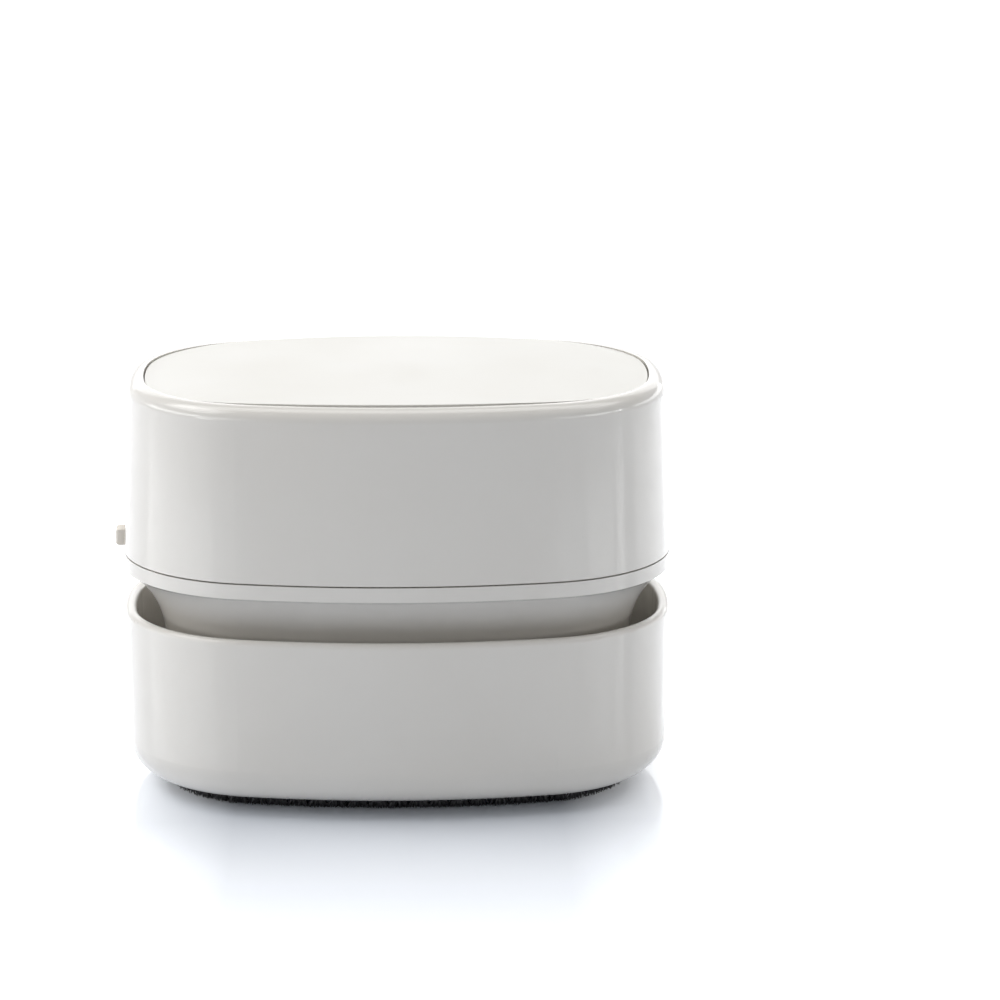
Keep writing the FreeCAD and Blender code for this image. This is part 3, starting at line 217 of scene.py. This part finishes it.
def speck_group():
    """Sparse specks of lint and dust, as a mask."""
    inputs = [("Vector", "Vector", None), ("Scale", "Float", 420.0), ("Size", "Float", 0.13)]
    tree, given, result = new_group("specks", inputs, [("Mask", "Float")])
    cells = tree.nodes.new("ShaderNodeTexVoronoi")
    tree.links.new(given["Vector"], cells.inputs["Vector"])
    tree.links.new(given["Scale"], cells.inputs["Scale"])
    near = calc(tree, "LESS_THAN", cells.outputs["Distance"], given["Size"])
    chosen = calc(tree, "LESS_THAN", cells.outputs["Color"], SPECK_SHARE)
    tree.links.new(calc(tree, "MULTIPLY", near, chosen), result["Mask"])
    return tree


MOULDED_SKIN = moulding_group()
HAIRLINES = hairline_group()
SPECKS = speck_group()


class Finish:
    """A material and short calls to build its node tree."""

    def __init__(self, name):
        self.material = bpy.data.materials.new(name)
        self.material.use_nodes = True
        self.tree = self.material.node_tree
        self.shader = self.tree.nodes["Principled BSDF"]
        self.place = self.tree.nodes.new("ShaderNodeTexCoord").outputs["Object"]

    def effect(self, group, **values):
        """Place a shared effect with its own values and return its outputs."""
        node = self.tree.nodes.new("ShaderNodeGroup")
        node.node_tree = group
        self.tree.links.new(self.place, node.inputs["Vector"])
        for name, number in values.items():
            node.inputs[name.replace("_", " ").title()].default_value = number
        return node.outputs

    def set(self, **values):
        """Constant values of the shader's own sockets."""
        for name, number in values.items():
            socket = name.replace("_", " ").title().replace("Ior", "IOR")
            self.shader.inputs[socket].default_value = number

    def colour(self, mask, first, second):
        """Base colour between two colours by a mask."""
        mixed = mix_colour(self.tree, mask, first, second)
        self.tree.links.new(mixed, self.shader.inputs["Base Color"])
        return mixed

    def roughness(self, mask, low, high):
        """Roughness between two values by a mask."""
        spread = remap(self.tree, mask, 0.0, 1.0, low, high)
        self.tree.links.new(spread, self.shader.inputs["Roughness"])

    def relief(self, height, depth, strength=1.0):
        """Bump of a real depth in metres."""
        bump = self.tree.nodes.new("ShaderNodeBump")
        bump.inputs["Distance"].default_value = depth
        bump.inputs["Strength"].default_value = strength
        self.tree.links.new(height, bump.inputs["Height"])
        self.tree.links.new(bump.outputs["Normal"], self.shader.inputs["Normal"])


# ---------------------------------------------------------------- plastics


DUST_STRENGTH = 0.10
WIPING_STRENGTH = 0.5


def gloss_moulding(name, pale, warm, rough_low, rough_high, wave_depth, coat):
    """Polished moulding with soft waviness, wiping marks and a few specks of dust."""
    finish = Finish(name)
    skin = finish.effect(MOULDED_SKIN, wave_scale=70.0, grain_scale=1500.0)
    marks = finish.effect(HAIRLINES, scale=55.0)["Mask"]
    dust = finish.effect(SPECKS, scale=300.0, size=0.10)["Mask"]
    dusty = calc(finish.tree, "MULTIPLY", dust, DUST_STRENGTH)
    soiled = mix_colour(finish.tree, dusty, pale, INNER_CREAM)
    finish.colour(skin["Tone"], soiled, warm)
    wiped = calc(finish.tree, "MULTIPLY", marks, WIPING_STRENGTH)
    worn = calc(finish.tree, "ADD", wiped, skin["Tone"])
    finish.roughness(worn, rough_low, rough_high)
    finish.relief(skin["Height"], wave_depth, 0.6)
    finish.set(ior=1.5, coat_weight=coat, coat_roughness=0.06)
    return finish.material


def grained_moulding(name, first, second, rough_low, rough_high, grain, depth):
    """Plain moulding with a spark-eroded grain."""
    finish = Finish(name)
    skin = finish.effect(MOULDED_SKIN, wave_scale=160.0, grain_scale=grain)
    fine = noise(finish.tree, finish.place, grain, 4.0, 0.6)
    finish.colour(skin["Tone"], first, second)
    finish.roughness(fine, rough_low, rough_high)
    finish.relief(fine, depth, 0.8)
    finish.set(ior=1.48)
    return finish.material


def rubber():
    """Soft seal rubber with a chalky bloom."""
    finish = Finish("seal_rubber")
    bloom = noise(finish.tree, finish.place, 240.0, 4.0, 0.65)
    finish.colour(bloom, RUBBER_DARK, RUBBER_GREY)
    finish.roughness(bloom, 0.6, 0.85)
    finish.relief(bloom, 0.05 * MM)
    return finish.material


def bristle_nylon():
    """Black nylon: glossy along the bristle, greyer here and there."""
    finish = Finish("bristle_nylon")
    along = stretched(finish.tree, finish.place, 1.0, 1.0, 0.1)
    streak = noise(finish.tree, along, 3200.0, 2.0)
    finish.colour(streak, NYLON_BLACK, NYLON_GREY)
    finish.roughness(streak, 0.28, 0.5)
    finish.set(ior=1.53)
    return finish.material


# ---------------------------------------------------------------- metals, felt and others


ROLLING_STRETCH = 0.06
FIBRE_STRETCH = 0.22


def rolled_metal(name, bright, dull, along, roughness):
    """Rolled or drawn sheet metal: fine lines along one axis and a dull patina."""
    finish = Finish(name)
    scales = [ROLLING_STRETCH if axis == along else 1.0 for axis in "xyz"]
    lines = noise(finish.tree, stretched(finish.tree, finish.place, *scales), 2400.0, 3.0, 0.6)
    patina = noise(finish.tree, finish.place, 130.0, 4.0, 0.6)
    finish.colour(remap(finish.tree, patina, 0.35, 0.7), bright, dull)
    finish.roughness(lines, roughness - 0.08, roughness + 0.12)
    finish.relief(lines, 0.02 * MM, 0.5)
    finish.set(metallic=1.0)
    return finish.material


def filter_felt():
    """Needled felt: matted fibres, a soft nap and a little grey dust."""
    finish = Finish("filter_felt")
    lengthwise = stretched(finish.tree, finish.place, 1.0, FIBRE_STRETCH, 1.0)
    crosswise = stretched(finish.tree, finish.place, FIBRE_STRETCH, 1.0, 1.0)
    fibres = noise(finish.tree, lengthwise, 1500.0, 6.0, 0.7)
    crossing = noise(finish.tree, crosswise, 1300.0, 6.0, 0.7)
    mat = calc(finish.tree, "MULTIPLY", calc(finish.tree, "ADD", fibres, crossing), 0.5)
    soil = noise(finish.tree, finish.place, 60.0, 5.0, 0.65)
    shade = calc(finish.tree, "MULTIPLY", calc(finish.tree, "ADD", mat, soil), 0.5)
    finish.colour(remap(finish.tree, shade, 0.38, 0.66), FELT_GREY, FELT_WHITE)
    finish.roughness(mat, 0.85, 1.0)
    finish.relief(mat, 0.5 * MM)
    finish.set(sheen_weight=0.3, sheen_roughness=0.6)
    return finish.material


def board_laminate():
    """Tan paper laminate with a faint weave."""
    finish = Finish("board_laminate")
    weave = stretched(finish.tree, finish.place, 1.0, 0.15, 1.0)
    threads = noise(finish.tree, weave, 1800.0, 3.0)
    finish.colour(threads, LAMINATE_BROWN, LAMINATE_TAN)
    finish.roughness(threads, 0.35, 0.55)
    finish.relief(threads, 0.03 * MM)
    return finish.material


BARE_STEEL = "bare_steel"
PRINT_BAND = (17.0 * MM, 20.0 * MM)


def cell_sleeve():
    """Shrink sleeve of a cell: dark green, a silver band towards each end, bare steel ends."""
    finish = Finish("cell_sleeve")
    split = finish.tree.nodes.new("ShaderNodeSeparateXYZ")
    finish.tree.links.new(finish.place, split.inputs["Vector"])
    from_middle = calc(finish.tree, "ABSOLUTE", split.outputs["Y"])
    band = calc(finish.tree, "MULTIPLY",
                calc(finish.tree, "GREATER_THAN", from_middle, PRINT_BAND[0]),
                calc(finish.tree, "LESS_THAN", from_middle, PRINT_BAND[1]))
    skin = finish.effect(MOULDED_SKIN, wave_scale=150.0, grain_scale=1200.0)
    ground = mix_colour(finish.tree, skin["Tone"], WRAP_GREEN, WRAP_DARK)
    printed = mix_colour(finish.tree, band, ground, WRAP_SILVER)
    bare = finish.tree.nodes.new("ShaderNodeAttribute")
    bare.attribute_name = BARE_STEEL
    finish.colour(bare.outputs["Fac"], printed, NICKEL)
    finish.tree.links.new(bare.outputs["Fac"], finish.shader.inputs["Metallic"])
    finish.roughness(skin["Height"], 0.22, 0.38)
    finish.relief(skin["Height"], 0.06 * MM, 0.5)
    return finish.material


def make_finishes():
    """Every material of the vacuum, by its slot."""
    gloss, grained, metal = gloss_moulding, grained_moulding, rolled_metal
    makers = {
        "shell_plastic": (gloss, SHELL_WHITE, SHELL_CREAM, 0.14, 0.20, 0.010 * MM, 0.4),
        "plate_plastic": (gloss, PLATE_WHITE, PLATE_CREAM, 0.34, 0.44, 0.02 * MM, 0.0),
        "knob_plastic": (grained, KNOB_BEIGE, KNOB_TAN, 0.45, 0.65, 2600.0, 0.03 * MM),
        "brush_plastic": (grained, BLACK_PLASTIC, DARK_PLASTIC, 0.4, 0.6, 1500.0, 0.03 * MM),
        "frame_plastic": (grained, FRAME_GREY, FRAME_PALE, 0.4, 0.55, 1400.0, 0.02 * MM),
        "inner_plastic": (grained, INNER_WHITE, INNER_CREAM, 0.35, 0.5, 1300.0, 0.02 * MM),
        "cap_plastic": (grained, DARK_PLASTIC, BLACK_PLASTIC, 0.35, 0.5, 1700.0, 0.02 * MM),
        "fan_plastic": (grained, FAN_GREY, FAN_DARK, 0.35, 0.5, 1500.0, 0.02 * MM),
        "motor_steel": (metal, STEEL, STEEL_DULL, "z", 0.30),
        "terminal_brass": (metal, BRASS, BRASS_DULL, "z", 0.32),
        "screw_steel": (metal, STEEL, STEEL_DULL, "x", 0.34),
        "contact_nickel": (metal, NICKEL, NICKEL_DULL, "z", 0.26),
    }
    finishes = {slot: maker(slot, *values) for slot, (maker, *values) in makers.items()}
    finishes.update(bristle_nylon=bristle_nylon(), seal_rubber=rubber(),
                    filter_felt=filter_felt(), board_laminate=board_laminate(),
                    cell_wrap=cell_sleeve())
    return finishes


FINISHES = make_finishes()


def dress_nodes():
    """Give each CAD node the finish of its slot."""
    for part in frame["record"]["subparts"]:
        mesh = frame["nodes"][part["node"]].data
        mesh.materials.clear()
        mesh.materials.append(FINISHES[part["material_slot"]])


# ---------------------------------------------------------------- bristles

STRANDS_PER_TUFT = 84
STRAND_RADIUS = 0.11 * MM
STRAND_SIDES = 5
STRAND_TAPER = 0.7
ROOT_DEPTH = 0.25 * MM
TIP_SPLAY = 0.35 * MM
TIP_SHORT_MM = (0.05, 0.2)
TIP_LEAN = 0.6
ROW_SHARE = 0.55
WIDTH_SHARE = 0.4
LEVEL_MATCH = 0.1 * MM


def tuft_middle(corners):
    """Middle of a CAD tuft in the plan."""
    return sum((corner.xy for corner in corners), Vector((0, 0))) / len(corners)


def loose_pieces(node):
    """Corner lists of the separate solids of a CAD node, in a fixed order by their middles."""
    mesh = bmesh.new()
    mesh.from_mesh(frame["nodes"][node].data)
    bmesh.ops.remove_doubles(mesh, verts=mesh.verts, dist=1e-6)
    visited = set()
    found = []
    for start in mesh.verts:
        if start in visited:
            continue
        visited.add(start)
        piece = []
        to_visit = [start]
        while to_visit:
            corner = to_visit.pop()
            piece.append(corner.co.copy())
            for edge in corner.link_edges:
                other = edge.other_vert(corner)
                if other not in visited:
                    visited.add(other)
                    to_visit.append(other)
        found.append(piece)
    mesh.free()
    return sorted(found, key=lambda piece: [round(number, 5) for number in tuft_middle(piece)])


def add_strand(mesh, root, tip):
    """One bristle: a thin cone from its root to its tip."""
    along = tip - root
    turn = along.to_track_quat("Z", "Y").to_matrix().to_4x4()
    place = Matrix.Translation((root + tip) / 2) @ turn
    bmesh.ops.create_cone(mesh, cap_ends=True, segments=STRAND_SIDES, radius1=STRAND_RADIUS,
                          radius2=STRAND_RADIUS * STRAND_TAPER, depth=along.length, matrix=place)


def tuft(mesh, corners, step, draw):
    """Bristles of one CAD tuft, from a round hole, spread along the row to meet the next."""
    low = min(corner.z for corner in corners)
    high = max(corner.z for corner in corners)
    middle = tuft_middle(corners)
    spread = [max((corner.xy - middle).length for corner in corners
                  if abs(corner.z - level) < LEVEL_MATCH) for level in (high, low)]
    root_room, tip_room = (reach - STRAND_RADIUS for reach in spread)
    across = Vector((-step.y, step.x)).normalized()
    for _ in range(STRANDS_PER_TUFT):
        share = draw.uniform(-1, 1)
        width = math.sqrt(1 - share ** 2) * draw.uniform(-1, 1)
        root = middle + (step.normalized() * share + across * width) * root_room
        lean = (width * WIDTH_SHARE + draw.uniform(-TIP_LEAN, TIP_LEAN)) * (tip_room + TIP_SPLAY)
        tip = middle + step * share * ROW_SHARE + across * lean
        short = draw.uniform(*TIP_SHORT_MM) * MM
        add_strand(mesh, Vector((*root, high + ROOT_DEPTH)), Vector((*tip, low + short)))


def new_object(name, mesh):
    """Object in the scene from a bmesh, which is freed."""
    data = bpy.data.meshes.new(name)
    mesh.to_mesh(data)
    mesh.free()
    made = bpy.data.objects.new(name, data)
    bpy.context.scene.collection.objects.link(made)
    return made


def round_off(piece, sharp_angle):
    """Smooth shading, with edges sharper than an angle in degrees kept."""
    for polygon in piece.data.polygons:
        polygon.use_smooth = True
    piece.data.set_sharp_from_angle(angle=math.radians(sharp_angle))


def finish_piece(name, mesh, slot, body, replaced=()):
    """Object from a bmesh, with its finish, riding on its body and standing for CAD nodes."""
    piece = new_object(name, mesh)
    for polygon in piece.data.polygons:
        polygon.use_smooth = True
    piece.data.materials.append(FINISHES[slot])
    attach(piece, body)
    if replaced:
        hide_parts(*replaced)
    return piece


def brush_tufts():
    """Real bristles in place of each side's solid tufts."""
    draw = random.Random(11)
    for side in ("front", "back", "left", "right"):
        mesh = bmesh.new()
        tufts = loose_pieces("bristles_" + side)
        middles = [tuft_middle(corners) for corners in tufts]
        for corners, middle in zip(tufts, middles):
            nearest = min((other for other in middles if other != middle),
                          key=lambda other: (other - middle).length)
            tuft(mesh, corners, nearest - middle, draw)
        finish_piece("tufts_" + side, mesh, "bristle_nylon", "tray", ["bristles_" + side])


# ---------------------------------------------------------------- neck, knob and cells

# Plan of the body: long arcs at front and back, end arcs and four corner arcs.
FRONT_RADIUS = 167.5 * MM
END_RADIUS = 84.0 * MM
CORNER_RADIUS = 33.3 * MM
HALF_WIDTH = 62.5 * MM
HALF_DEPTH = 42.5 * MM
CORNER_X = 28.84 * MM
CORNER_Y = 6.07 * MM

# Heights are above the desk and insets are from the plan's outline.
NECK_FOOT = 34.0 * MM
NECK_RADIUS = 20.0 * MM
NECK_STEPS = 14
NECK_INSET = 9.1 * MM
SLEEVE_INSET = 9.3 * MM
LEAD_IN = 1.0 * MM
BAND_INSET = 0.3 * MM
BELT_EDGE = 50.6 * MM
BELT_STRAIGHT = 51.6 * MM
NECK_CORE = 10.3 * MM
CORE_DROP = 5.0 * MM
EDGE_BREAK = 0.15 * MM
BELT_LAP = 0.4 * MM
LAP_INSETS = (0.8 * MM, 2.4 * MM)
MERGE_REACH = 0.02 * MM
ARC_STEPS = {FRONT_RADIUS: 28, CORNER_RADIUS: 26, END_RADIUS: 14}

VENT_WIDTH = 2.4 * MM
VENT_PITCH = 4.8 * MM
VENT_COUNT = 9
VENT_MIDDLE = 41.75 * MM
VENT_HEIGHT = 8.5 * MM


def plan_arcs():
    """Centre, radius and turn of the plan's arcs, anticlockwise from the right end's middle."""
    back_y = HALF_DEPTH - FRONT_RADIUS
    end_x = HALF_WIDTH - END_RADIUS
    end_turn = math.atan2(CORNER_Y, CORNER_X - end_x)
    back_turn = math.atan2(CORNER_Y - back_y, CORNER_X)
    corner_turn = back_turn - end_turn
    long_turn = math.pi - 2 * back_turn
    return [
        ((end_x, 0), END_RADIUS, end_turn),
        ((CORNER_X, CORNER_Y), CORNER_RADIUS, corner_turn),
        ((0, back_y), FRONT_RADIUS, long_turn),
        ((-CORNER_X, CORNER_Y), CORNER_RADIUS, corner_turn),
        ((-end_x, 0), END_RADIUS, 2 * end_turn),
        ((-CORNER_X, -CORNER_Y), CORNER_RADIUS, corner_turn),
        ((0, -back_y), FRONT_RADIUS, long_turn),
        ((CORNER_X, -CORNER_Y), CORNER_RADIUS, corner_turn),
        ((end_x, 0), END_RADIUS, end_turn),
    ]


def swept_round_plan(mesh, profile):
    """Sweep a closed profile of (inset, height) pairs once round the plan."""
    corners = [mesh.verts.new((HALF_WIDTH - inset, 0, height)) for inset, height in profile]
    for first, second in zip(corners, corners[1:] + corners[:1]):
        mesh.edges.new((first, second))
    last = list(mesh.verts) + list(mesh.edges)
    for (x, y), radius, turn in plan_arcs():
        last = bmesh.ops.spin(mesh, geom=last, cent=(x, y, 0), axis=(0, 0, 1), angle=turn,
                              steps=ARC_STEPS[radius], use_duplicate=False)["geom_last"]
    bmesh.ops.remove_doubles(mesh, verts=mesh.verts, dist=MERGE_REACH)
    bmesh.ops.recalc_face_normals(mesh, faces=mesh.faces)


def cut_by(piece, cutter):
    """Take a cutter's volume out of a piece and delete the cutter."""
    cut = piece.modifiers.new("cut", "BOOLEAN")
    cut.object = cutter
    cut.solver = "EXACT"
    bpy.context.view_layer.update()
    whole = piece.evaluated_get(bpy.context.evaluated_depsgraph_get())
    shape = bpy.data.meshes.new_from_object(whole)
    piece.modifiers.clear()
    piece.data = shape
    bpy.data.objects.remove(cutter)


def vent_cutter():
    """Row of bars where the exhaust slots pass through the neck at the back."""
    mesh = bmesh.new()
    for step in range(VENT_COUNT):
        x = (step - (VENT_COUNT - 1) / 2) * VENT_PITCH
        place = Matrix.Translation((x, HALF_DEPTH - NECK_INSET, VENT_MIDDLE))
        size = Matrix.Diagonal((VENT_WIDTH, 2 * NECK_CORE, VENT_HEIGHT, 1.0))
        bmesh.ops.create_cube(mesh, size=1.0, matrix=place @ size)
    return new_object("vent_cutter", mesh)


def neck_band():
    """Band under the belt that sweeps inwards and down into the sleeve."""
    reach = NECK_INSET - NECK_RADIUS
    last_turn = math.acos((BAND_INSET - reach) / NECK_RADIUS)
    turns = [last_turn * step / NECK_STEPS for step in range(NECK_STEPS + 1)]
    foot = [(NECK_CORE, NECK_FOOT - LEAD_IN), (SLEEVE_INSET, NECK_FOOT - LEAD_IN)]
    sweep = [(reach + NECK_RADIUS * math.cos(turn), NECK_FOOT + NECK_RADIUS * math.sin(turn))
             for turn in turns]
    edge = [(EDGE_BREAK, BELT_EDGE), (0.0, BELT_EDGE + EDGE_BREAK), (0.0, BELT_STRAIGHT)]
    lap = [(inset, BELT_STRAIGHT + BELT_LAP) for inset in LAP_INSETS]
    mesh = bmesh.new()
    swept_round_plan(mesh, foot + sweep + edge + lap + [(NECK_CORE, BELT_EDGE - CORE_DROP)])
    piece = finish_piece("neck_band", mesh, "shell_plastic", "head")
    cut_by(piece, vent_cutter())
    round_off(piece, 28)


KNOB_SHARE_ALONG = 5.0 / 12.0
KNOB_SHARE_UP = 3.6 / 4.8
GRIP_REACH = 6.16 * MM
GRIP_HALF_LENGTH = 6.1 * MM


def small_knob():
    """Slide knob whose grip is shorter and lower than the slot that its flange closes."""
    mesh = bmesh.new()
    mesh.from_mesh(frame["nodes"]["switch_knob"].data)
    low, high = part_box("switch_knob")
    middle = (low.y + high.y) / 2
    grip = [corner for corner in mesh.verts if corner.co.x < low.x + GRIP_REACH
            and abs(corner.co.y - middle) < GRIP_HALF_LENGTH]
    foot = Vector((0, middle, low.z))
    bmesh.ops.scale(mesh, vec=(1.0, KNOB_SHARE_ALONG, KNOB_SHARE_UP), verts=grip,
                    space=Matrix.Translation(-foot))
    piece = finish_piece("small_knob", mesh, "knob_plastic", "switch", ["switch_knob"])
    round_off(piece, 30)


CELL_NUB_RADIUS = 2.7 * MM
CELL_NUB = 1.2 * MM
CELL_SIDES = 72
SHOULDER = 0.8 * MM
SLEEVE_FOLD = 1.5 * MM
FOLD_WALL = 0.15 * MM
NUB_WALL = 0.25 * MM
END_SINK = 0.25 * MM


def stepped(mesh, faces, inset, rise):
    """Step faces in and up or down, and give back the faces of the step."""
    return bmesh.ops.inset_individual(mesh, faces=faces, thickness=inset, depth=rise)["faces"]


def cell(node, plus):
    """Cell with a sleeve folded over its shoulders, sunk steel ends and a nub at the plus end."""
    low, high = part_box(node)
    middle = (low + high) / 2 - Vector((0, plus * CELL_NUB / 2, 0))
    radius = (high.x - low.x) / 2
    mesh = bmesh.new()
    steel = mesh.faces.layers.float.new(BARE_STEEL)
    lying = Matrix.Translation(middle) @ Matrix.Rotation(math.radians(-90 * plus), 4, "X")
    bmesh.ops.create_cone(mesh, cap_ends=True, segments=CELL_SIDES, radius1=radius,
                          radius2=radius, depth=high.y - low.y - CELL_NUB, matrix=lying)
    shoulders = [edge for edge in mesh.edges
                 if any(len(face.verts) > 4 for face in edge.link_faces)]
    bmesh.ops.bevel(mesh, geom=shoulders, offset=SHOULDER, offset_type="OFFSET", segments=4,
                    profile=0.5, affect="EDGES", material=-1)
    ends = [face for face in mesh.faces if len(face.verts) > 4]
    stepped(mesh, ends, SLEEVE_FOLD, 0.0)
    walls = stepped(mesh, ends, FOLD_WALL, -END_SINK)
    top = max(ends, key=lambda face: face.calc_center_median().y * plus)
    sunk = radius - SHOULDER - SLEEVE_FOLD - FOLD_WALL
    plate = stepped(mesh, [top], sunk - CELL_NUB_RADIUS, 0.0)
    sides = stepped(mesh, [top], NUB_WALL, CELL_NUB + END_SINK)
    for face in ends + walls + plate + sides:
        face[steel] = 1.0
    piece = finish_piece(node + "_sleeved", mesh, "cell_wrap", "head", [node])
    round_off(piece, 35)


def sleeved_cells():
    """Four cells, side by side, with their nubs turned in alternate directions."""
    for number, plus in enumerate((1, -1, 1, -1), start=1):
        cell(f"cell_{number}", plus)


# ---------------------------------------------------------------- stage, lights and camera


FLOOR_SIZE = 12.0
# Painted light on the floor: the strength of its glow, and the reaches beside and in front of the
# vacuum over which it rises from none.
FLOOR_GLOW = 0.64
GLOW_BESIDE = (0.037, 0.084)
GLOW_BEFORE = (0.042, 0.163)


def floor_finish():
    """White gloss lacquer with a painted glow that is none next to the vacuum and rises away from
    it, so the floor clips to white in the open and keeps the vacuum's shadow close by.
    """
    finish = Finish("floor_lacquer_and_painted_glow")
    skin = finish.effect(MOULDED_SKIN, wave_scale=9.0, grain_scale=300.0)
    finish.colour(skin["Tone"], FLOOR_WHITE, FLOOR_PALE)
    finish.roughness(skin["Tone"], 0.07, 0.10)
    finish.set(ior=1.5)
    place = finish.tree.nodes.new("ShaderNodeSeparateXYZ")
    finish.tree.links.new(finish.place, place.inputs["Vector"])
    # Painted light: the floor glows for camera, mirror and glass rays, with no glow next to the
    # vacuum and more glow away from it, beside and in front, which whitens the floor's shade
    # further out.
    glows = []
    for axis, reach in (("X", GLOW_BESIDE), ("Y", GLOW_BEFORE)):
        away = calc(finish.tree, "ABSOLUTE", place.outputs[axis])
        glows.append(remap(finish.tree, away, *reach, 0.0, FLOOR_GLOW))
    lift = calc(finish.tree, "MINIMUM", calc(finish.tree, "ADD", *glows), FLOOR_GLOW)
    glow = calc(finish.tree, "MULTIPLY", lift, seen_directly(finish.tree))
    finish.tree.links.new(glow, finish.shader.inputs["Emission Strength"])
    finish.shader.inputs["Emission Color"].default_value = (1, 1, 1, 1)
    return finish.material


def make_floor():
    """Wide pale floor."""
    mesh = bmesh.new()
    bmesh.ops.create_grid(mesh, x_segments=4, y_segments=4, size=FLOOR_SIZE)
    floor = new_object("floor", mesh)
    floor.data.materials.append(floor_finish())


def make_world():
    """White surround for the eye and for reflections; only the softboxes light the vacuum."""
    world = bpy.data.worlds.new("studio")
    bpy.context.scene.world = world
    world.use_nodes = True
    tree = world.node_tree
    tree.nodes.clear()
    dark = tree.nodes.new("ShaderNodeBackground")
    dark.inputs["Strength"].default_value = 0.0
    white = tree.nodes.new("ShaderNodeBackground")
    white.inputs["Strength"].default_value = 1.0
    white.inputs["Color"].default_value = (1, 1, 1, 1)
    mixed = tree.nodes.new("ShaderNodeMixShader")
    tree.links.new(seen_directly(tree), mixed.inputs["Fac"])
    tree.links.new(dark.outputs["Background"], mixed.inputs[1])
    tree.links.new(white.outputs["Background"], mixed.inputs[2])
    output = tree.nodes.new("ShaderNodeOutputWorld")
    tree.links.new(mixed.outputs["Shader"], output.inputs["Surface"])


# Softboxes aimed at the vacuum: name, turn from the front to the right and rise in degrees,
# distance, width and height in metres, radiance.
SOFTBOXES = [
    ("overhead", 180, 82, 1.2, 2.4, 0.70, 1.94),
    ("left_high", -80, 48, 1.2, 0.9, 0.60, 2.75),
    ("right_high", 72, 48, 1.2, 0.9, 0.60, 0.45),
    ("left_first", -34.5, 9.5, 1.12, 0.40, 0.22, 1.9),
    ("left_second", -59.5, 9.5, 1.12, 0.56, 0.22, 4.2),
    ("left_third", -92, 9.5, 1.12, 0.72, 0.22, 3.6),
    ("left_last", -130, 9.5, 1.12, 0.80, 0.22, 0.27),
    ("right_first", 37, 8.5, 1.12, 0.46, 0.20, 1.9),
    ("right_second", 61.5, 8.5, 1.12, 0.46, 0.20, 3.6),
    ("right_narrow", 80.5, 8.5, 1.12, 0.16, 0.20, 5.0),
    ("right_third", 114, 8.5, 1.12, 0.66, 0.20, 2.0),
    ("right_last", 143, 8.5, 1.12, 0.50, 0.20, 1.62),
    ("back", 180, 24, 1.5, 1.6, 0.8, 0.9),
]
AIM = Vector((0.0, 0.0, 0.05))


def make_lights():
    """Softboxes round and over the vacuum."""
    for name, turn, rise, reach, width, height, radiance in SOFTBOXES:
        around = Matrix.Rotation(math.radians(turn), 3, "Z") @ Vector((0.0, -1.0, 0.0))
        upward = Vector((0, 0, math.sin(math.radians(rise))))
        away = around * math.cos(math.radians(rise)) + upward
        lamp = bpy.data.lights.new(name, "AREA")
        lamp.shape = "RECTANGLE"
        lamp.size = width
        lamp.size_y = height
        lamp.energy = radiance * math.pi * width * height
        holder = bpy.data.objects.new(name, lamp)
        holder.location = AIM + away * reach
        holder.rotation_mode = "QUATERNION"
        holder.rotation_quaternion = away.to_track_quat("Z", "Y")
        holder.visible_camera = False
        bpy.context.scene.collection.objects.link(holder)


CAMERA_PLACE = (0.0, -1.1133, 0.3357)
CAMERA_AIM = (0.0206, 0.9712, -0.2373)
CAMERA_LENS = 180.0
SENSOR = 36.0
VIEW_REACH = 50.0


def make_camera():
    """Long lens from slightly above."""
    data = bpy.data.cameras.new("camera")
    data.lens = CAMERA_LENS
    data.sensor_width = SENSOR
    data.clip_end = VIEW_REACH
    camera = bpy.data.objects.new("camera", data)
    camera.location = CAMERA_PLACE
    camera.rotation_mode = "QUATERNION"
    camera.rotation_quaternion = Vector(CAMERA_AIM).to_track_quat("-Z", "Y")
    bpy.context.scene.collection.objects.link(camera)
    bpy.context.scene.camera = camera
    bpy.context.scene.view_settings.view_transform = "Standard"


dress_nodes()
brush_tufts()
neck_band()
small_knob()
sleeved_cells()
make_floor()
make_world()
make_lights()
make_camera()
